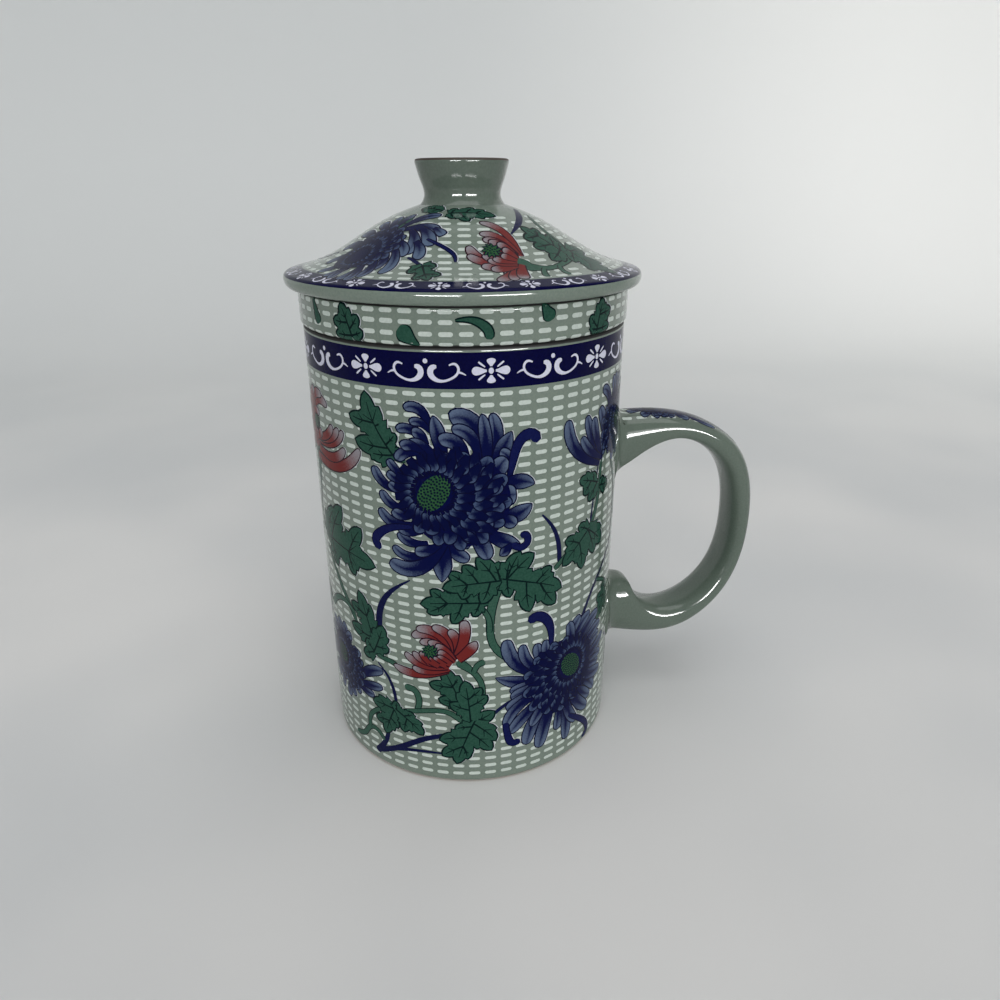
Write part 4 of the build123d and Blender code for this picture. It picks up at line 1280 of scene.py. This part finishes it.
def layDashes(part, chart, spots, length, height, rows=2, spread=0.03):
    # a rounded dash at every spot: half height h cos a at +-(length / 2 - h + h sin a), with 2 h the height;
    # more rows follow a surface that bends across the dash
    draw = np.random.default_rng(randomSeed)
    h = height / 2
    a = np.radians([0, 35, 62, 82])  # the points of a round end
    x = np.concatenate([-(length / 2 - h + h * np.sin(a[::-1])), [0.0], length / 2 - h + h * np.sin(a)])
    y = np.concatenate([h * np.cos(a[::-1]), [h], h * np.cos(a)])
    template = np.stack([np.stack([x, level * y], 1) for level in np.linspace(-1, 1, rows)])
    swelled = template * (1 + spread * draw.uniform(-1, 1, (len(spots), 1, 1, 1)))
    stretch = np.stack([chart.radius / chart.reach(spots[:, 1]), np.ones(len(spots))], 1)
    flat = spots[:, None, None, :] + swelled * stretch[:, None, None, :]
    flat = flat + spread * draw.uniform(-1, 1, (len(spots), 1, 1, 2))
    points, normals = chart.wrap(flat, lifts["ground"])
    faces = latticeFaces(rows, len(x))[None] + np.arange(len(spots))[:, None, None] * rows * len(x)
    keepCut(part, "ground", "dashes", patch(points, normals, faces.reshape(-1, 4), flat))


def layBand(part, chart, low, high, step):
    # a plain band between two lengths up the outline, all the way round
    up = np.linspace(low, high, max(2, round((high - low) / step) + 1))
    across = np.linspace(-math.pi, math.pi, roundSegments + 1) * chart.radius
    flat = np.stack(np.broadcast_arrays(across[None, :], up[:, None]), -1)
    points, normals = chart.wrap(flat, lifts["ground"])
    cut = patch(points, normals, latticeFaces(len(up), len(across)), flat)
    keepCut(part, "ground", "navy_band", cut)


def layFlower(part, chart, spacing, shifts, flower):
    # the halo first, then each layer from the outer petals to the eye
    lay(part, "halo", halo(flower["outer"]), chart, spacing, shifts)
    for layer, shapes in flower.items():
        lay(part, layer, shapes, chart, spacing, shifts)


def halo(shapes, shift=(0.2, 0.06)):
    # a pale sliver along one side of every outline, as left by a transfer printed out of register
    return [{"outline": s["outline"] + shift, "ink": "halo"} for s in shapes if s["ink"].endswith("_lines")]


def layLeaves(part, chart, spacing, shifts, groups):
    # leaves of one group overlap: they are cut together, so that the later one covers the earlier
    for group in groups:
        shapes = [s for single in group for s in single]
        lay(part, "halo", halo(shapes), chart, spacing, shifts)
        lay(part, "leaves", shapes, chart, spacing, shifts)


def layStems(part, chart, spacing, shifts, stems):
    # all stems of a piece, cut together; only green ones have an edge line
    shapes = []
    for places, widths, colour in stems:
        shapes += stroke(places, widths, colour, "leaf_lines" if colour == "stem_green" else None)
    lay(part, "stems", shapes, chart, spacing, shifts)


def outsideChart(radius, low, high, lowRounding, highRounding):
    # the outside of a turned wall, with its lengths up the outline equal to heights on the straight part
    under, over = 4, 3  # how far the outline runs in below and above
    outline = roundedOutline([(radius - under, low, 0), (radius, low, lowRounding),
                              (radius, high, highRounding), (radius - over, high, 0)])
    first = np.flatnonzero(outline[:, 1] >= low + lowRounding - 1e-6)[0]
    return TurnedChart(outline, radius, outline[first, 1] - along(outline[:, :2])[first])


def spotGrid(across, up):
    # every place (u, v) with u from across and v from up
    return np.stack(np.meshgrid(across, up), -1).reshape(-1, 2)


def layPicture(part, chart, spacing, shifts, stems=(), leaves=(), blue=(), red=()):
    # the floral print of one piece, from the stems up
    if stems:
        layStems(part, chart, spacing, shifts, stems)
    layLeaves(part, chart, spacing, shifts, leaves)
    for look in blue:
        layFlower(part, chart, spacing, shifts, blueBlossom(look))
    for look in red:
        layFlower(part, chart, spacing, shifts, redBlossom(look))


# a spacing is (across, up) between the lines that cut a print; the wall is straight, so 0 up. A dash is
# (length, height), and onlyOnce stands for a print that isn't repeated
onlyOnce = ((0.0, 0.0),)
wallPrint = {"columns": 60, "firstColumn": 0.2, "rows": (3.1, 105.2), "rowPitch": 2.37, "dash": (3.0, 0.98),
             "band": (106.2, 113.9), "repeats": 9, "flowerAt": 5.3, "pairAt": 19.4, "middle": 110.0,
             "spacing": (1.2, 0)}
outerCorners = slice(3, 5)  # the outer foot's and the rim's roundings, in both outlines
wallChart = outsideChart(mugSize["radius"], 0, mugSize["top"], *mugShape["roundings"][outerCorners])
turnSize = 2 * math.pi * mugSize["radius"]
columns = (np.arange(wallPrint["columns"]) / wallPrint["columns"] - 0.5) * turnSize + wallPrint["firstColumn"]
rows = np.arange(*wallPrint["rows"], wallPrint["rowPitch"])
layDashes("mug", wallChart, spotGrid(columns, rows), *wallPrint["dash"])
layBand("mug", wallChart, *wallPrint["band"], step=10)
flower, pair = bandOrnaments(borderLook, 1.0)
around = np.arange(wallPrint["repeats"]) * turnSize / wallPrint["repeats"]
for shapes, start in ((flower, wallPrint["flowerAt"]), (pair, wallPrint["pairAt"])):
    lay("mug", "border", shapes, wallChart, wallPrint["spacing"],
        [(u + start, wallPrint["middle"]) for u in around])
bothSides = ((0.0, 0.0), (turnSize / 2, 0.0))
layPicture("mug", wallChart, wallPrint["spacing"], bothSides, wallStems, wallLeaves,
           [bigBlossom, lowBlossom, sideBlossom, cupBlossom], [redFlower, leftRedFlower])
print("mug prints cut")

collarPrint = {"rows": (115.5, 117.7, 120.1, 122.25), "dash": (3.05, 1.0), "spacing": (1.2, 0.5)}
collarChart = outsideChart(collarSize["radius"], collarFoot, collarRim,
                           *infuserShape["roundings"][outerCorners])
collarColumns = columns * collarSize["radius"] / mugSize["radius"]
layDashes("collar", collarChart, spotGrid(collarColumns, collarPrint["rows"]), *collarPrint["dash"], rows=5)
collarSides = ((0.0, 0.0), (math.pi * collarSize["radius"], 0.0))
layLeaves("collar", collarChart, collarPrint["spacing"], collarSides, [collarLeaves])
drops = [s for places, widths in collarDrops
         for s in stroke(places, widths, "leaf_green", "leaf_lines", edge=leafLineWidth)]
lay("collar", "stems", drops, collarChart, collarPrint["spacing"], collarSides)

lidPrint = {"chartRadius": 42.5, "band": (0.8, 5.5), "bandStep": 0.2, "repeats": 14, "flowerAt": 18.8,
            "middle": 3.25, "shrink": (0.56, 0.7), "borderSpacing": (1.0, 0.22), "turns": (-10, 170),
            "spacing": (1.0, 1.0), "rows": (6.6, 31.0), "rowPitch": 2.35, "columnPitch": 4.25,
            "columns": 12, "columnTurn": 0.5, "endGap": 1.2, "dash": (3.0, 1.05)}
lidChart = TurnedChart(lidUpper, lidPrint["chartRadius"], 0)
layBand("lid", lidChart, *lidPrint["band"], lidPrint["bandStep"])
flower, pair = bandOrnaments(borderLook, lidPrint["shrink"])
lidStep = 360 / lidPrint["repeats"]
perDegree = math.radians(1) * lidChart.radius
for shapes, start in ((flower, lidPrint["flowerAt"]), (pair, lidPrint["flowerAt"] + lidStep / 2)):
    lay("lid", "border", shapes, lidChart, lidPrint["borderSpacing"],
        [((start + lidStep * k) * perDegree, lidPrint["middle"]) for k in range(lidPrint["repeats"])])


def lidSpots(look, chart):
    # in each quarter the rows run straight across, so their ends meet along the diagonals
    spots = []
    for up in np.arange(*look["rows"], look["rowPitch"]):
        reach = float(chart.reach(up))
        across = np.arange(-look["columns"], look["columns"] + 1) * look["columnPitch"]
        angle = np.degrees(across / reach)
        angle = angle[abs(angle) < 45 - math.degrees(look["endGap"] / reach)]
        for quarter in range(4):
            start = look["columnTurn"] + 90 * quarter
            spots.append(np.stack([(angle + start) * perDegree, np.full(len(angle), up)], 1))
    return np.concatenate(spots)


layDashes("lid", lidChart, lidSpots(lidPrint, lidChart), *lidPrint["dash"])
for turn in lidPrint["turns"]:
    layPicture("lid", PlanChart(lidUpper, turn), lidPrint["spacing"], onlyOnce, lidStems, lidLeaves,
               [lidBlossom], [lidRedFlower])
print("lid and collar prints cut")

handlePrint = {"columns": (3.0, 26.0), "columnPitch": 4.2, "rows": (-4.3, 5.0), "rowPitch": 2.25,
               "dash": (3.0, 0.8), "spacing": (0.8, 0.7)}
handleChart = HandleChart(handlePoints, handleNormals, handleBack, mugSize["radius"])
handleSpots = spotGrid(np.arange(*handlePrint["columns"], handlePrint["columnPitch"]),
                       np.arange(*handlePrint["rows"], handlePrint["rowPitch"]))
layDashes("handle", handleChart, handleSpots, *handlePrint["dash"], rows=5)
layPicture("handle", handleChart, handlePrint["spacing"], onlyOnce, handleStems, blue=[handleBlossom])
print("handle print cut")

inkFor = {
    "dashes": "dash", "navy_band": "navy", "border_white": "white", "petal_lines": "petalLine",
    "blue_petals": "bluePetal", "dark_petals": "deepPetal", "steel_petals": "steelPetal",
    "hooked_petals": "hookPetal", "dark_mass": "darkMass", "red_petals": "redPetal", "red_lines": "redLine",
    "leaf_green": "leaf", "leaf_lines": "leafLine", "stem_green": "stem", "branches": "branch",
    "seed_green": "seed", "seed_dots": "seedDot", "halo": "halo"}
bodyOf = {"mug": "mug", "collar": "infuser", "lid": "lid", "handle": "mug"}
for (part, layer, colour), cuts in sheets.items():
    makePiece(f"{part}_{layer}_{colour}", cuts, inks[inkFor[colour]], bodyOf[part])
print(len(sheets), "print sheets made")

# metres and degrees from here on; a lamp's turn is from the front, and its height is an angle
cameraLook = {"place": (-0.01703, -0.19466, 0.1465), "tilt": 67.11, "turn": -7.64, "roll": 0.13,
              "lens": 27.23, "sensor": 36.0, "clip": (0.01, 20)}
# the cloth carries blotches of painted fold shade and, far back on the right, painted light
stageLook = {
    "cloth": ink(223, 223, 222), "foldShade": ink(207, 209, 210), "far": ink(213, 216, 216),
    "paintedLight": ink(252, 253, 251), "foldShades": (160, 2, 0.3, 0.7), "farFrom": -0.02, "paintedLightSpan": (0.0, 0.6),
    "wallAt": 0.42, "bend": 0.30, "bendRows": 24, "reach": 1.6, "columns": 9, "roughness": 0.9}
lampAim = (0, 0, 0.08)
lampLook = {"leftWindow": {"turn": -15.5, "height": 9, "distance": 2.4, "size": (1.1, 0.8), "power": 12.0},
            "rightWindow": {"turn": 26, "height": 9, "distance": 2.4, "size": (1.33, 0.8), "power": 14.5},
            "leftGleam": {"turn": -15.5, "height": 5, "distance": 2.4, "size": (1.1, 0.36), "power": 60.0,
                          "glossOnly": True},
            "rightGleam": {"turn": 26, "height": 5, "distance": 2.4, "size": (1.33, 0.36), "power": 73.0,
                           "glossOnly": True},
            "ceiling": {"turn": 20, "height": 78, "distance": 1.6, "size": (1.4, 1.4), "power": 10.0}}
worldLook = {"light": 0.32, "behind": (0.62, 0.64, 0.64, 1.0), "mirrored": 0.5}


def makeStage(look):
    # the floor runs back, bends up on a quarter circle and goes on as a wall
    wall = look["wallAt"] + look["bend"]
    bend = np.linspace(0, math.pi / 2, look["bendRows"])
    y = np.concatenate([[-look["reach"]], look["wallAt"] + look["bend"] * np.sin(bend), [wall]])
    z = np.concatenate([[0.0], look["bend"] * (1 - np.cos(bend)), [look["reach"]]])
    x = np.linspace(-look["reach"], look["reach"], look["columns"])
    points = np.stack(np.broadcast_arrays(x, y[:, None], z[:, None]), -1)
    mesh = bpy.data.meshes.new("floor_sweep")
    mesh.from_pydata(points.reshape(-1, 3).tolist(), [], latticeFaces(*points.shape[:2]).tolist())
    mesh.shade_smooth()
    shade = Shade(bpy.data.materials.new("paleCloth"))
    # the cloth's tone: darker blotches of painted fold shade, a darker tone towards the back, and painted
    # light that makes the far part brighter towards +x
    cloth = shade.mixed(shade.blotches(*look["foldShades"]), look["foldShade"], look["cloth"])
    far = shade.node("SeparateXYZ", {}, {0: shade.place()}, 1).rise(look["farFrom"], wall)
    sideways = shade.node("SeparateXYZ", {}, {0: shade.place()}, 0).rise(*look["paintedLightSpan"])
    colour = shade.mixed(sideways * far, shade.mixed(far, cloth, look["far"]), look["paintedLight"])
    mesh.materials.append(shade.finish({"Base Color": colour, "Roughness": look["roughness"],
                                        "Specular IOR Level": 0.0}))
    stage = bpy.data.objects.new("floor_sweep", mesh)
    bpy.context.scene.collection.objects.link(stage)


def makeLamp(name, look):
    # a rectangle of light at a distance from lampAim, facing it
    data = bpy.data.lights.new(name, "AREA")
    data.shape = "RECTANGLE"
    data.size, data.size_y = look["size"]
    data.energy = look["power"]
    lamp = bpy.data.objects.new(name, data)
    turn, height = math.radians(look["turn"]) + frontAngle, math.radians(look["height"])
    aim = Vector((math.cos(height) * math.cos(turn), math.cos(height) * math.sin(turn), math.sin(height)))
    lamp.location = aim * look["distance"] + Vector(lampAim)
    lamp.rotation_euler = aim.to_track_quat("Z", "Y").to_euler()
    lamp.visible_diffuse = not look.get("glossOnly")  # a gleam shows in the glaze and lights nothing
    bpy.context.scene.collection.objects.link(lamp)


def makeWorld(look):
    # even light, with a pale backdrop for the camera and, dimmer, for what the glaze mirrors
    shade = Shade(bpy.data.worlds.new("softWorld"))
    rayKinds = ("Is Camera Ray", "Is Transmission Ray", "Is Glossy Ray")
    rays = [shade.node("LightPath", output=name) for name in rayKinds]
    seen = shade.maths("MAXIMUM", rays[0], rays[1])
    even = shade.node("Background", {}, {"Color": (1, 1, 1, 1), "Strength": look["light"]})
    mirrored = shade.node("Background", {}, {"Color": look["behind"], "Strength": look["mirrored"]})
    behind = shade.node("Background", {}, {"Color": look["behind"], "Strength": 1.0})
    first = shade.node("MixShader", {}, {0: rays[2], 1: even, 2: mirrored})
    whole = shade.node("MixShader", {}, {0: seen, 1: first, 2: behind})
    shade.node("OutputWorld", {}, {"Surface": whole})
    bpy.context.scene.world = shade.owner


def makeCamera(look):
    data = bpy.data.cameras.new("camera")
    data.lens = look["lens"]
    data.sensor_width = look["sensor"]
    data.clip_start, data.clip_end = look["clip"]
    camera = bpy.data.objects.new("camera", data)
    camera.location = look["place"]
    camera.rotation_euler = tuple(math.radians(look[k]) for k in ("tilt", "roll", "turn"))
    bpy.context.scene.collection.objects.link(camera)
    bpy.context.scene.camera = camera


makeStage(stageLook)
for lampName, look in lampLook.items():
    makeLamp(lampName, look)
makeCamera(cameraLook)
makeWorld(worldLook)
bpy.context.scene.view_settings.view_transform = "Standard"
print("stage, lamps and camera ready")
